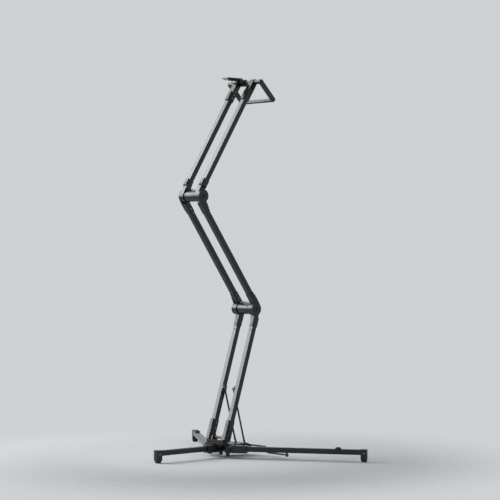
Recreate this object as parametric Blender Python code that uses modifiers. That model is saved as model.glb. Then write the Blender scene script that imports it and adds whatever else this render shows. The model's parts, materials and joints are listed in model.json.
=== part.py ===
"""Overhead camera stand: three folding twin-tube arms on a hub with three legs.

Metres, +Z up, ground at z = 0, origin below the middle of the footprint. X runs along the elbow axles and
-Y is the front, where the short leg points.
Each arm is modelled along the +Z of an empty on its lower joint axis, with +Y to its rear.
"""
import math

import bmesh
import bpy
from mathutils import Matrix, Vector

# Tubes of the mast
TUBE_WIDTH = 0.0220
TUBE_DEPTH = 0.0200
TUBE_WALL = 0.0018
TUBE_CORNER = 0.0022
TUBE_PITCH = 0.0930

# Arms: lean from upright towards the rear in degrees, and length between joint axes along the arm
LOWER_LEAN = 17.70
MIDDLE_LEAN = -35.17
UPPER_LEAN = 32.28
LOWER_LENGTH = 0.5180
MIDDLE_LENGTH = 0.5160
UPPER_LENGTH = 0.5240
ELBOW_OFFSET = 0.0150
FOOT_Y = 0.0385
FOOT_Z = 0.0770

# Elbows
LUG_RADIUS = 0.0245
BARREL_RADIUS = 0.0215
AXLE_RADIUS = 0.0060
ELBOW_WIDTH = 0.1210
OUTER_LUG = 0.0078
BARREL_GROOVE = 0.0012
SLAB_HEIGHT = 0.0050
SLAB_DEPTH = 0.0200

# Split clamp sleeves at the tube ends
SLEEVE_WALL = 0.0016
SLEEVE_LENGTH = 0.0390
CLAMP_PROUD = 0.0045
FOOT_CLAMP_PROUD = 0.0060
CLAMP_WIDTH = 0.0176
SLIT = 0.0012
LUG_STEP = 0.0004

# Clearances
GAP = 0.0003
RUNNING_GAP = 0.0005
FOLD_CLEARANCE = 0.0010

# Legs
LEG_WIDTH = 0.0220
LEG_DEPTH = 0.0200
LEG_UNDERSIDE = 0.0275
LEG_SPLAY = 34.0
SIDE_LEG_REACH = 0.5360
FRONT_LEG_REACH = 0.3150
POST_SIZE = 0.0246
POST_CORNER = 0.0030
PAD_RADIUS = 0.0118
PAD_HEIGHT = 0.0090
PAD_SPIGOT = 0.0045
BUMPER_RADIUS = 0.0115
BUMPER_HEIGHT = 0.0070
RIGHT_BUMPER_SETBACK = 0.1006
LEFT_BUMPER_SETBACK = 0.0830

# Hub and leg pivots
SIDE_PIVOT_X = 0.0526
SIDE_PIVOT_Y = 0.0385
FRONT_PIVOT_Y = 0.0490
HUB_PLATE_LOW = 0.0300
HUB_PLATE_HIGH = 0.0380
LOBE_RADIUS = 0.0170
TONGUE_RADIUS = 0.0130
TONGUE_HEIGHT = 0.0084
KNUCKLE_ROOT = 0.0185
KNUCKLE_REACH = 0.0780
KNUCKLE_WALL = 0.0030
BOLT_RADIUS = 0.0040
BOLT_HEAD_RADIUS = 0.0050
BOLT_HEAD_TOP = 0.0570
NUT_RADIUS = 0.0080
NUT_BOTTOM = 0.0095
TAIL_WIDTH = 0.0680
TAIL_FRONT = 0.0645
TAIL_REAR = 0.1640
TAIL_TOP = 0.0490
TAIL_BOTTOM = 0.0225
LEDGE_REAR = 0.1860

# Mast bracket and foot axle
CHEEK_WIDTH = 0.0085
EAR_RADIUS = 0.0110
BRACKET_FRONT = 0.0165
BRACKET_REAR = 0.0600
BRACKET_PLATE = 0.0050
BRACKET_WIDTH = 0.0960
BRACKET_TOP = 0.0695
FOOT_AXLE_RADIUS = 0.0050

# Stay rods: their upper eyes on the lower arm, and their lower eyes in the hub's tail
STAY_STATION = 0.1950
STAY_AHEAD = 0.0062
STAY_X = 0.0262
STAY_RADIUS = 0.0035
STAY_FOOT_Y = 0.1490
STAY_FOOT_Z = 0.0495
STAY_EYE_RADIUS = 0.0050
STAY_EYE_WIDTH = 0.0066
STAY_PIN_RADIUS = 0.0024

# Braces from the hub's tail to below the side legs
BRACE_PIVOT_X = 0.0180
BRACE_PIVOT_Y = 0.1740
BRACE_LENGTH = 0.2250
BRACE_STEP = 0.0980
BRACE_WIDTH = 0.0100
BRACE_THICKNESS = 0.0050
BRACE_TOP = 0.0435
BRACE_DROP = 0.0225
BRACE_EYE_RADIUS = 0.0080
BRACE_PEG_RADIUS = 0.0040
PIN_RADIUS = 0.0026
PIN_HEAD_RADIUS = 0.0042
PIN_HEAD = 0.0023

# Handle frame on the top axle
HANDLE_WIDTH = 0.1900
STRUT_THICKNESS = 0.0085
STRUT_WIDTH = 0.0185
HANDLE_REACH = 0.0960
HANDLE_DROP = 45.8
CROSSBAR_HEIGHT = 0.0170
CROSSBAR_DEPTH = 0.0090
HINGE_RADIUS = 0.0090
TOP_AXLE_RADIUS = 0.0040

# Head on the top axle
HEAD_PITCH = 0.0
ARM_LEFT = -0.0290
ARM_THICKNESS = 0.0130
ARM_RADIUS = 0.0130
BOSS_RADIUS = 0.0138
BOSS_WIDTH = 0.0190
SPACER_RADIUS = 0.0078
CLAMP_FRONT = 0.0520
CLAMP_REAR = 0.0180
CLAMP_LEFT = -0.0310
CLAMP_RIGHT = 0.0100
CLAMP_LOW = -0.0020
CLAMP_HIGH = 0.0110
PLATE_FRONT = 0.0970
PLATE_REAR = 0.0200
PLATE_THICKNESS = 0.0055
DOVETAIL_DEPTH = 0.0030
DOVETAIL_HALF = 0.0150
SCREW_RADIUS = 0.0030
SCREW_HEAD_RADIUS = 0.0078
SCREW_HEAD = 0.0034
SCREW_Y = 0.0720
KNOB_RADIUS = 0.0085
KNOB_LENGTH = 0.0120

# Facets
ROUND = 28
MEDIUM_ROUND = 20
SMALL_ROUND = 12
CORNER_STEPS = 3

# Derived places
TUBE_X = TUBE_PITCH / 2
TUBE_INNER = TUBE_X - TUBE_WIDTH / 2
SLEEVE_INNER = TUBE_INNER - SLEEVE_WALL
SLEEVE_OUTER = TUBE_X + TUBE_WIDTH / 2 + SLEEVE_WALL
SLEEVE_HALF_DEPTH = TUBE_DEPTH / 2 + SLEEVE_WALL
OUTER_LUG_FACE = ELBOW_WIDTH / 2
OUTER_LUG_INNER = OUTER_LUG_FACE - OUTER_LUG
INNER_LUG_OUTER = OUTER_LUG_INNER - RUNNING_GAP
BARREL_HALF = SLEEVE_INNER - BARREL_GROOVE / 4
COPE_RADIUS = LUG_RADIUS + 2 * RUNNING_GAP
LEG_TOP = LEG_UNDERSIDE + LEG_DEPTH
POST_TOP = LEG_TOP + 0.0015
HANDLE_FACE = HANDLE_WIDTH / 2
STRUT_INNER = HANDLE_FACE - STRUT_THICKNESS
SPLAY = math.radians(LEG_SPLAY)
CORNER_REACH = (POST_SIZE / 2 - POST_CORNER) * (math.sin(SPLAY) + math.cos(SPLAY)) + POST_CORNER
REAR_EDGE = SIDE_PIVOT_Y + SIDE_LEG_REACH * math.sin(SPLAY) + CORNER_REACH
FRONT_EDGE = FRONT_PIVOT_Y - FRONT_LEG_REACH - POST_SIZE / 2
CENTRE_Y = (FRONT_EDGE + REAR_EDGE) / 2

PARTS = bpy.data.collections.new("overhead_camera_stand")
CUTTERS = bpy.data.collections.new("cutters")


def clear_scene():
    for item in list(bpy.data.objects):
        bpy.data.objects.remove(item, do_unlink=True)
    for group in (PARTS, CUTTERS):
        bpy.context.scene.collection.children.link(group)


def finish(name, colour, roughness, metallic):
    """A painted, anodised or moulded surface."""
    surface = bpy.data.materials.new(name)
    surface.use_nodes = True
    shader = surface.node_tree.nodes["Principled BSDF"]
    shader.inputs["Base Color"].default_value = (*colour, 1.0)
    shader.inputs["Roughness"].default_value = roughness
    shader.inputs["Metallic"].default_value = metallic
    surface.diffuse_color = (*colour, 1.0)
    return surface


def joint_empty(name, place, parent=None, tilt=0.0, turn=0.0):
    """An empty on a joint axis: tilt turns it about X, turn about Z, in degrees."""
    empty = bpy.data.objects.new(name, None)
    empty.location = place
    empty.rotation_euler = (math.radians(tilt), 0.0, math.radians(turn))
    empty.parent = parent
    PARTS.objects.link(empty)
    return empty


def add(name, mesh, frame, surface):
    """Place a mesh in a joint's frame; without a surface it is a cutter or a shape to join."""
    piece = bpy.data.objects.new(name, mesh)
    piece.parent = frame
    if surface is None:
        CUTTERS.objects.link(piece)
        piece.hide_render = True
        piece.display_type = "WIRE"
    else:
        PARTS.objects.link(piece)
        mesh.materials.append(surface)
    return piece


def to_mesh(name, shape):
    bmesh.ops.recalc_face_normals(shape, faces=shape.faces)
    mesh = bpy.data.meshes.new(name)
    shape.to_mesh(mesh)
    shape.free()
    return mesh


def box(name, frame, surface, low, high):
    """A box between two opposite corners."""
    low, high = Vector(low), Vector(high)
    size = Matrix.Diagonal((*(high - low), 1.0))
    shape = bmesh.new()
    bmesh.ops.create_cube(shape, size=1.0, matrix=Matrix.Translation((low + high) / 2) @ size)
    return add(name, to_mesh(name, shape), frame, surface)


def cylinder(name, frame, surface, radius, start, end, sides=ROUND):
    """A cylinder from start to end."""
    start, end = Vector(start), Vector(end)
    turn = Vector((0, 0, 1)).rotation_difference(end - start).to_matrix().to_4x4()
    shape = bmesh.new()
    bmesh.ops.create_cone(shape, cap_ends=True, segments=sides, radius1=radius, radius2=radius,
                          depth=(end - start).length, matrix=Matrix.Translation((start + end) / 2) @ turn)
    mesh = to_mesh(name, shape)
    smooth(mesh)
    return add(name, mesh, frame, surface)


def smooth(mesh):
    mesh.shade_smooth()
    mesh.set_sharp_from_angle(angle=math.radians(35))


AXES = {
    "X": Matrix(((0, 0, 1, 0), (1, 0, 0, 0), (0, 1, 0, 0), (0, 0, 0, 1))),
    "Y": Matrix(((1, 0, 0, 0), (0, 0, -1, 0), (0, 1, 0, 0), (0, 0, 0, 1))),
    "Z": Matrix.Identity(4),
}


def plate(name, frame, surface, outlines, low, high, axis):
    """Flat outlines, the rim first and then any holes, given thickness from low to high along an axis.

    The outline's two coordinates are (y, z) along X, (x, z) along Y and (x, y) along Z.
    """
    curve = bpy.data.curves.new(name, "CURVE")
    curve.dimensions = "2D"
    curve.fill_mode = "BOTH"
    curve.extrude = (high - low) / 2
    for outline in outlines:
        spline = curve.splines.new("POLY")
        spline.points.add(len(outline) - 1)
        spline.use_cyclic_u = True
        for point, (u, v) in zip(spline.points, outline):
            point.co = (u, v, 0.0, 1.0)
    guide = bpy.data.objects.new(name + "_guide", curve)
    CUTTERS.objects.link(guide)
    view = bpy.context.evaluated_depsgraph_get()
    mesh = bpy.data.meshes.new_from_object(guide.evaluated_get(view))
    bpy.data.objects.remove(guide, do_unlink=True)
    shape = bmesh.new()
    shape.from_mesh(mesh)
    bpy.data.meshes.remove(mesh)
    bmesh.ops.remove_doubles(shape, verts=shape.verts, dist=1e-6)
    shift = {"X": Vector((1, 0, 0)), "Y": Vector((0, 1, 0)), "Z": Vector((0, 0, 1))}[axis] * (low + high) / 2
    shape.transform(Matrix.Translation(shift) @ AXES[axis])
    mesh = to_mesh(name, shape)
    smooth(mesh)
    return add(name, mesh, frame, surface)


def turned(name, frame, surface, profile, place, direction, steps=ROUND):
    """A solid of revolution: (radius, height) points down its outer side, about an axis through place."""
    turn = Vector((0, 0, 1)).rotation_difference(Vector(direction)).to_matrix().to_4x4()
    mesh = bpy.data.meshes.new(name)
    points = [(radius, 0.0, height) for radius, height in profile]
    mesh.from_pydata(points, [(i, i + 1) for i in range(len(points) - 1)], [])
    piece = add(name, mesh, frame, surface)
    piece.matrix_local = Matrix.Translation(place) @ turn
    sweep = piece.modifiers.new("turn", "SCREW")
    sweep.axis = "Z"
    sweep.steps = steps
    sweep.render_steps = steps
    sweep.use_merge_vertices = True
    sweep.merge_threshold = 0.00001
    sweep.use_smooth_shade = False
    return piece


def combine(piece, others, operation):
    for other in others:
        step = piece.modifiers.new(other.name, "BOOLEAN")
        step.operation = operation
        step.object = other
        step.solver = "EXACT"
    return piece


def join(piece, *others):
    return combine(piece, others, "UNION")


def cut(piece, *others):
    return combine(piece, others, "DIFFERENCE")


def soften(piece, width, segments=1, angle=50):
    edge = piece.modifiers.new("soften", "BEVEL")
    edge.width = width
    edge.segments = segments
    edge.limit_method = "ANGLE"
    edge.angle_limit = math.radians(angle)
    return piece


def arc(centre, radius, start, end, steps):
    return [(centre[0] + radius * math.cos(math.radians(start + (end - start) * i / steps)),
             centre[1] + radius * math.sin(math.radians(start + (end - start) * i / steps)))
            for i in range(steps + 1)]


def circle(centre, radius, sides=ROUND):
    return arc(centre, radius, 0, 360, sides)[:-1]


def rounded(low, high, radius, steps=CORNER_STEPS):
    """A rectangle with rounded corners."""
    (x0, y0), (x1, y1) = low, high
    corners = ((x1 - radius, y1 - radius, 0), (x0 + radius, y1 - radius, 90),
               (x0 + radius, y0 + radius, 180), (x1 - radius, y0 + radius, 270))
    return [point for x, y, start in corners for point in arc((x, y), radius, start, start + 90, steps)]


def rectangle(low, high):
    (x0, y0), (x1, y1) = low, high
    return [(x0, y0), (x1, y0), (x1, y1), (x0, y1)]


def hull(*outlines):
    """The convex outline round several outlines."""
    points = sorted(set((round(u, 7), round(v, 7)) for outline in outlines for u, v in outline))

    def half(row):
        edge = []
        for p in row:
            while len(edge) > 1 and ((edge[-1][0] - edge[-2][0]) * (p[1] - edge[-2][1])
                                     - (edge[-1][1] - edge[-2][1]) * (p[0] - edge[-2][0])) <= 1e-10:
                edge.pop()
            edge.append(p)
        return edge[:-1]

    return half(points) + half(points[::-1])


def span(side, first, second):
    """An X range on one side of the stand, low value first."""
    return sorted((side * first, side * second))


SIDES = (("left", -1), ("right", 1))


def mast_tube(name, frame, surface, side, plane, low, high):
    """A hollow rectangular tube along the arm."""
    x0, x1 = span(side, TUBE_INNER, TUBE_INNER + TUBE_WIDTH)
    y0, y1 = plane - TUBE_DEPTH / 2, plane + TUBE_DEPTH / 2
    rim = rounded((x0, y0), (x1, y1), TUBE_CORNER)
    bore = rectangle((x0 + TUBE_WALL, y0 + TUBE_WALL), (x1 - TUBE_WALL, y1 - TUBE_WALL))
    return plate(name, frame, surface, (rim, bore), low, high, "Z")


def lug_outline(axis, plane, neck):
    """A round lug run out into its neck, and clear beyond the axis for the arm that folds there."""
    side = math.copysign(1.0, plane - axis[0])
    ring = circle(axis, LUG_RADIUS)
    near = [point for point in ring if side * (point[0] - axis[0]) > -FOLD_CLEARANCE]
    far = [point for point in ring if point not in near]
    return sorted(far + hull(near, neck), key=lambda p: math.atan2(p[1] - axis[1], p[0] - axis[0]))


def clamp_sleeve(name, frame, side, plane, low, high, proud, clamp_low, clamp_high):
    """Pieces of a split clamp sleeve: the sleeve round the tube and the thicker block on its front."""
    x0, x1 = span(side, SLEEVE_INNER, SLEEVE_OUTER)
    y0, y1 = plane - SLEEVE_HALF_DEPTH, plane + SLEEVE_HALF_DEPTH
    sleeve = soften(box(name + "_sleeve", frame, None, (x0, y0, low), (x1, y1, high)), 0.0012)
    middle = side * TUBE_X
    block = box(name + "_block", frame, None, (middle - CLAMP_WIDTH / 2, y0 - proud, clamp_low),
                (middle + CLAMP_WIDTH / 2, y0 + SLEEVE_WALL / 2, clamp_high))
    return sleeve, soften(block, 0.0012)


def clamp_cuts(name, frame, side, plane, proud, slit_low, slit_high, notch):
    """The clamp's slit along its front and the notch across it."""
    middle = side * TUBE_X
    front = plane - SLEEVE_HALF_DEPTH - proud
    slit = box(name + "_slit", frame, None, (middle - SLIT / 2, front - 0.002, slit_low),
               (middle + SLIT / 2, front + 0.0022, slit_high))
    across = box(name + "_notch", frame, None, (middle - CLAMP_WIDTH, front - 0.002, notch - 0.0016),
                 (middle + CLAMP_WIDTH, front + 0.0018, notch + 0.0016))
    return slit, across


def tube_socket(name, frame, side, plane, low, high):
    x0, x1 = span(side, TUBE_INNER - GAP, TUBE_INNER + TUBE_WIDTH + GAP)
    half = TUBE_DEPTH / 2 + GAP
    return plate(name + "_socket", frame, None,
                 (rounded((x0, plane - half), (x1, plane + half), TUBE_CORNER),), low, high, "Z")


def cross_bore(name, frame, radius, centre, half=0.07, sides=ROUND):
    return cylinder(name + "_bore", frame, None, radius + GAP, (-half, *centre), (half, *centre), sides)


def inner_fitting(name, frame, surface, side, plane, axis, sleeve_low, sleeve_high, towards, proud, notch):
    """Clamp sleeve with the inner lug of an elbow; towards is +1 where the elbow is above the sleeve."""
    x0, x1 = span(side, SLEEVE_INNER + LUG_STEP, INNER_LUG_OUTER)
    root = sleeve_high if towards > 0 else sleeve_low
    half = SLEEVE_HALF_DEPTH - LUG_STEP
    neck = rectangle((plane - half, root - 0.016), (plane + half, root + 0.016))
    clamp = (sleeve_low, sleeve_high) if towards > 0 else (sleeve_low + 0.002, sleeve_high)
    piece = plate(name, frame, surface, (lug_outline(axis, plane, neck),), x0, x1, "X")
    join(piece, *clamp_sleeve(name, frame, side, plane, sleeve_low, sleeve_high, proud, *clamp))
    if towards > 0:
        socket = tube_socket(name, frame, side, plane, sleeve_low - 0.02, sleeve_high - 0.002)
    else:
        socket = tube_socket(name, frame, side, plane, sleeve_low + 0.002, sleeve_high + 0.02)
    cut(piece, socket, cross_bore(name, frame, AXLE_RADIUS, axis))
    cuts = clamp_cuts(name, frame, side, plane, proud, sleeve_low - 0.01, sleeve_high + 0.01, notch)
    return cut(piece, *cuts)


def outer_fitting(name, frame, surface, side, plane, axis, sleeve_low, sleeve_high, towards):
    """Clamp sleeve with the outer lug of an elbow, coped to clear the inner lug."""
    x0, x1 = span(side, OUTER_LUG_INNER, OUTER_LUG_FACE)
    root = sleeve_high if towards > 0 else sleeve_low
    far = root - towards * 0.034
    low, high = min(root, far), max(root, far)
    half = SLEEVE_HALF_DEPTH - LUG_STEP
    neck = rectangle((plane - half, low), (plane + half, high))
    piece = soften(plate(name, frame, surface, (lug_outline(axis, plane, neck),), x0, x1, "X"), 0.0010)
    sleeve_x = span(side, SLEEVE_INNER, SLEEVE_OUTER)
    y0, y1 = plane - SLEEVE_HALF_DEPTH, plane + SLEEVE_HALF_DEPTH
    sleeve = soften(box(name + "_sleeve", frame, None, (sleeve_x[0], y0, sleeve_low),
                        (sleeve_x[1], y1, sleeve_high)), 0.0012)
    c0, c1 = span(side, 0.0, OUTER_LUG_INNER + GAP)
    cope = cylinder(name + "_cope", frame, None, COPE_RADIUS, (c0, *axis), (c1, *axis))
    cut(sleeve, cope)
    if towards > 0:
        socket = tube_socket(name, frame, side, plane, sleeve_low - 0.02, axis[1] - COPE_RADIUS - 0.002)
    else:
        socket = tube_socket(name, frame, side, plane, axis[1] + COPE_RADIUS + 0.002, sleeve_high + 0.02)
    join(piece, sleeve)
    return cut(piece, socket, cross_bore(name, frame, AXLE_RADIUS, axis))


def elbow_barrel(name, frame, surface, axis, slab_side):
    """The bored barrel between the inner lugs, with the flat stop along it."""
    chamfer = 0.0012
    inner = BARREL_HALF - BARREL_GROOVE
    profile = ((AXLE_RADIUS + GAP, inner), (BARREL_RADIUS - chamfer, inner), (BARREL_RADIUS, inner - chamfer),
               (BARREL_RADIUS, chamfer - inner), (BARREL_RADIUS - chamfer, -inner),
               (AXLE_RADIUS + GAP, -inner), (AXLE_RADIUS + GAP, inner))
    piece = turned(name, frame, surface, profile, (0, *axis), (1, 0, 0))
    root = axis[1] + slab_side * BARREL_RADIUS * 0.7
    crest = axis[1] + slab_side * (BARREL_RADIUS + SLAB_HEIGHT)
    half = SLAB_DEPTH / 2
    slab = box(name + "_slab", frame, None, (0.003 - inner, axis[0] - half, min(root, crest)),
               (inner - 0.003, axis[0] + half, max(root, crest)))
    return join(piece, soften(slab, 0.0010))


def build_hub(base, dark, steel):
    """The hub plate with a lobe at each leg pivot, and its tail."""
    pivots = {"left": (-SIDE_PIVOT_X, SIDE_PIVOT_Y), "right": (SIDE_PIVOT_X, SIDE_PIVOT_Y),
              "front": (0.0, FRONT_PIVOT_Y)}
    web = rectangle((-SIDE_PIVOT_X, FRONT_PIVOT_Y - LOBE_RADIUS), (SIDE_PIVOT_X, SIDE_PIVOT_Y + LOBE_RADIUS))
    hub = plate("hub_casting", base, dark, (web,), HUB_PLATE_LOW, HUB_PLATE_HIGH, "Z")
    lobes = [cylinder(f"{name}_hub_lobe", base, None, LOBE_RADIUS, (*pivot, HUB_PLATE_LOW),
                      (*pivot, HUB_PLATE_HIGH)) for name, pivot in pivots.items()]
    half = TAIL_WIDTH / 2
    waist = hull(rectangle((-half * 0.8, SIDE_PIVOT_Y), (half * 0.8, SIDE_PIVOT_Y)),
                 rectangle((-half, TAIL_FRONT), (half, TAIL_FRONT + 0.01)))
    neck = plate("hub_neck", base, None, (waist,), HUB_PLATE_LOW, HUB_PLATE_HIGH, "Z")
    tail = soften(plate("hub_tail", base, None, (rounded((-half, TAIL_FRONT), (half, TAIL_REAR), 0.006),),
                        TAIL_BOTTOM, TAIL_TOP, "Z"), 0.0012)
    ledge_top = BRACE_TOP - BRACE_THICKNESS - GAP
    ledge = plate("hub_ledge", base, None,
                  (rounded((-half + 0.004, TAIL_REAR - 0.012), (half - 0.004, LEDGE_REAR), 0.008),),
                  TAIL_BOTTOM, ledge_top, "Z")
    join(hub, *lobes, neck, tail, ledge)
    cut(hub, *[cylinder(f"{name}_hub_bore", base, None, BOLT_RADIUS + GAP, (*pivot, 0.0), (*pivot, 0.06),
                        SMALL_ROUND) for name, pivot in pivots.items()])
    pocket = box("hub_pocket", base, None, (-half + 0.006, TAIL_FRONT + 0.006, 0.0),
                 (half - 0.006, TAIL_REAR - 0.006, STAY_FOOT_Z - STAY_EYE_RADIUS - 0.008))
    slot_half = STAY_EYE_WIDTH / 2 + RUNNING_GAP
    slot_front = STAY_FOOT_Y - STAY_EYE_RADIUS - 2 * RUNNING_GAP
    slot_floor = STAY_FOOT_Z - STAY_EYE_RADIUS - RUNNING_GAP
    slots = [box(f"stay_slot_{name}", base, None, (side * STAY_X - slot_half, slot_front, slot_floor),
                 (side * STAY_X + slot_half, LEDGE_REAR, TAIL_TOP + 0.01)) for name, side in SIDES]
    cut(hub, pocket, *slots)
    for name, side in SIDES:
        head_low = BRACE_TOP + GAP
        profile = ((0.0, head_low + PIN_HEAD), (PIN_HEAD_RADIUS, head_low + PIN_HEAD),
                   (PIN_HEAD_RADIUS, head_low), (PIN_RADIUS, head_low),
                   (PIN_RADIUS, ledge_top + GAP), (0.0, ledge_top + GAP))
        place = (side * BRACE_PIVOT_X, BRACE_PIVOT_Y, 0.0)
        turned(f"{name}_brace_pin", base, steel, profile, place, (0, 0, 1), SMALL_ROUND)
    for name, place in pivots.items():
        nut_top = HUB_PLATE_LOW - TONGUE_HEIGHT - 2 * GAP
        head_low = HUB_PLATE_HIGH + TONGUE_HEIGHT + 2 * GAP
        top = BOLT_HEAD_TOP if name != "front" else head_low + 0.004
        turned(f"{name}_pivot_bolt", base, steel,
               ((0.0, top), (BOLT_HEAD_RADIUS - 0.001, top), (BOLT_HEAD_RADIUS, top - 0.001),
                (BOLT_HEAD_RADIUS, head_low), (BOLT_RADIUS, head_low), (BOLT_RADIUS, nut_top),
                (NUT_RADIUS, nut_top), (NUT_RADIUS, NUT_BOTTOM + 0.001), (NUT_RADIUS - 0.001, NUT_BOTTOM),
                (0.0, NUT_BOTTOM)), (*place, 0.0), (0, 0, 1), MEDIUM_ROUND)


def build_bracket(base, dark, steel):
    """The two-eared bracket that carries the mast's foot axle."""
    floor = HUB_PLATE_HIGH + GAP
    foot = (FOOT_Y, FOOT_Z)
    outer = SLEEVE_INNER - RUNNING_GAP
    inner = outer - CHEEK_WIDTH
    face = BRACKET_FRONT + BRACKET_PLATE
    channel = LEG_WIDTH / 2 + KNUCKLE_WALL + 0.0015
    channel_top = LEG_TOP + KNUCKLE_WALL + 0.0025
    ear = hull(circle(foot, EAR_RADIUS, MEDIUM_ROUND),
               rectangle((BRACKET_FRONT + 0.001, floor), (BRACKET_REAR, floor + 0.006)))
    bracket = plate("mast_bracket", base, dark, (ear,), -outer, outer, "X")
    between = box("bracket_gap", base, None, (-inner, 0.0, channel_top + 0.006), (inner, 0.1, 0.1))
    below = box("bracket_channel", base, None, (-channel, 0.0, 0.0), (channel, 0.1, channel_top))
    half = BRACKET_WIDTH / 2
    step = SIDE_PIVOT_X - TONGUE_RADIUS - 0.002
    low = floor + LUG_STEP
    outline = [(-half, channel_top), (-step, low + 0.008), (-step, low), (-channel - LUG_STEP, low),
               (-channel - LUG_STEP, channel_top + LUG_STEP), (channel + LUG_STEP, channel_top + LUG_STEP),
               (channel + LUG_STEP, low), (step, low), (step, low + 0.008), (half, channel_top),
               (half, BRACKET_TOP), (-half, BRACKET_TOP)]
    cut(bracket, between, below)
    join(bracket, plate("bracket_front", base, None, (outline,), BRACKET_FRONT, face, "Y"))
    cut(bracket, cross_bore("bracket", base, FOOT_AXLE_RADIUS, foot, sides=MEDIUM_ROUND))
    cylinder("foot_axle", base, steel, FOOT_AXLE_RADIUS, (0.001 - SLEEVE_OUTER, *foot),
             (SLEEVE_OUTER - 0.001, *foot), MEDIUM_ROUND)


def build_leg(name, frame, reach, dark, black, rubber, bumper_setback=None):
    """A leg along the frame's +X: forked knuckle on the hub plate, tube, end post and foot pad."""
    half = LEG_WIDTH / 2
    body = half + KNUCKLE_WALL
    low, high = HUB_PLATE_LOW - TONGUE_HEIGHT, HUB_PLATE_HIGH + TONGUE_HEIGHT
    outline = hull(circle((0, 0), TONGUE_RADIUS, MEDIUM_ROUND),
                   rectangle((KNUCKLE_ROOT, -TONGUE_RADIUS), (KNUCKLE_ROOT + 0.002, TONGUE_RADIUS)))
    knuckle = soften(plate(f"{name}_knuckle", frame, dark, (outline,), low, high, "Z"), 0.0010)
    sleeve_low = (KNUCKLE_ROOT, -body, LEG_UNDERSIDE - KNUCKLE_WALL)
    sleeve_high = (KNUCKLE_REACH, body, LEG_TOP + KNUCKLE_WALL)
    sleeve = soften(box(f"{name}_knuckle_sleeve", frame, None, sleeve_low, sleeve_high), 0.0016)
    socket_start = KNUCKLE_ROOT + 0.0065
    fork = box(f"{name}_fork", frame, None, (-0.03, -0.03, HUB_PLATE_LOW - GAP),
               (KNUCKLE_ROOT, 0.03, HUB_PLATE_HIGH + GAP))
    bore = cylinder(f"{name}_bolt_bore", frame, None, BOLT_RADIUS + GAP, (0, 0, 0), (0, 0, 0.07), SMALL_ROUND)
    socket = box(f"{name}_leg_socket", frame, None, (socket_start, -half - GAP, LEG_UNDERSIDE - GAP),
                 (KNUCKLE_REACH + 0.01, half + GAP, LEG_TOP + GAP))
    join(knuckle, sleeve)
    cut(knuckle, fork, bore, socket)

    tube_end = reach - POST_SIZE / 2 + 0.004
    rim = rounded((-half, LEG_UNDERSIDE), (half, LEG_TOP), TUBE_CORNER)
    hole = rectangle((-half + TUBE_WALL, LEG_UNDERSIDE + TUBE_WALL), (half - TUBE_WALL, LEG_TOP - TUBE_WALL))
    plate(f"{name}_leg_tube", frame, black, (rim, hole), socket_start + GAP, tube_end, "X")

    square = POST_SIZE / 2
    post = soften(box(f"{name}_end_post", frame, dark, (reach - square, -square, PAD_HEIGHT),
                      (reach + square, square, POST_TOP)), POST_CORNER, 2)
    cap = box(f"{name}_post_socket", frame, None, (reach - square - 0.002, -half - GAP, LEG_UNDERSIDE - GAP),
              (tube_end + GAP, half + GAP, LEG_TOP + GAP))
    spigot = cylinder(f"{name}_post_bore", frame, None, PAD_SPIGOT + GAP, (reach, 0, 0),
                      (reach, 0, PAD_HEIGHT + 0.008), SMALL_ROUND)
    cut(post, cap, spigot)
    turned(f"{name}_foot_pad", frame, rubber,
           ((0.0, PAD_HEIGHT + 0.006), (PAD_SPIGOT, PAD_HEIGHT + 0.006), (PAD_SPIGOT, PAD_HEIGHT - GAP),
            (PAD_RADIUS, PAD_HEIGHT - GAP), (PAD_RADIUS, 0.0045), (PAD_RADIUS - 0.0012, 0.0020),
            (PAD_RADIUS - 0.0038, 0.0), (0.0, 0.0)), (reach, 0, 0), (0, 0, 1), MEDIUM_ROUND)
    if bumper_setback:
        seat = LEG_TOP + GAP
        profile = [(BUMPER_RADIUS * math.sin(math.radians(angle)),
                    seat + 0.0022 + (BUMPER_HEIGHT - 0.0022) * math.cos(math.radians(angle)))
                   for angle in (0, 22.5, 45, 67.5, 90)]
        turned(f"{name}_bumper", frame, rubber, (*profile, (BUMPER_RADIUS, seat), (0.0, seat)),
               (reach - bumper_setback, 0, 0), (0, 0, 1), MEDIUM_ROUND)


def build_brace(name, frame, surface):
    """A flat bar from the hub's tail, stepping down to a peg below the leg; along the frame's +X."""
    top = BRACE_TOP
    low = top - BRACE_DROP
    thick = BRACE_THICKNESS
    slope = BRACE_DROP * 0.9
    start, end = BRACE_STEP, BRACE_LENGTH + BRACE_PEG_RADIUS + 0.001
    outline = [(0.0, top - thick), (start, top - thick), (start + slope, low - thick), (end, low - thick),
               (end, low), (start + slope + 0.002, low), (start + 0.002, top), (0.0, top)]
    half = BRACE_WIDTH / 2
    brace = plate(f"{name}_brace", frame, surface, (outline,), -half, half, "Y")
    eye = cylinder(f"{name}_brace_eye", frame, None, BRACE_EYE_RADIUS, (0, 0, top - thick), (0, 0, top),
                   MEDIUM_ROUND)
    peg = cylinder(f"{name}_brace_peg", frame, None, BRACE_PEG_RADIUS, (BRACE_LENGTH, 0, low - thick - 0.004),
                   (BRACE_LENGTH, 0, LEG_UNDERSIDE - GAP), SMALL_ROUND)
    join(brace, eye, peg)
    cut(brace, cylinder(f"{name}_brace_bore", frame, None, PIN_RADIUS + GAP, (0, 0, 0), (0, 0, 0.06),
                        SMALL_ROUND))


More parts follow.
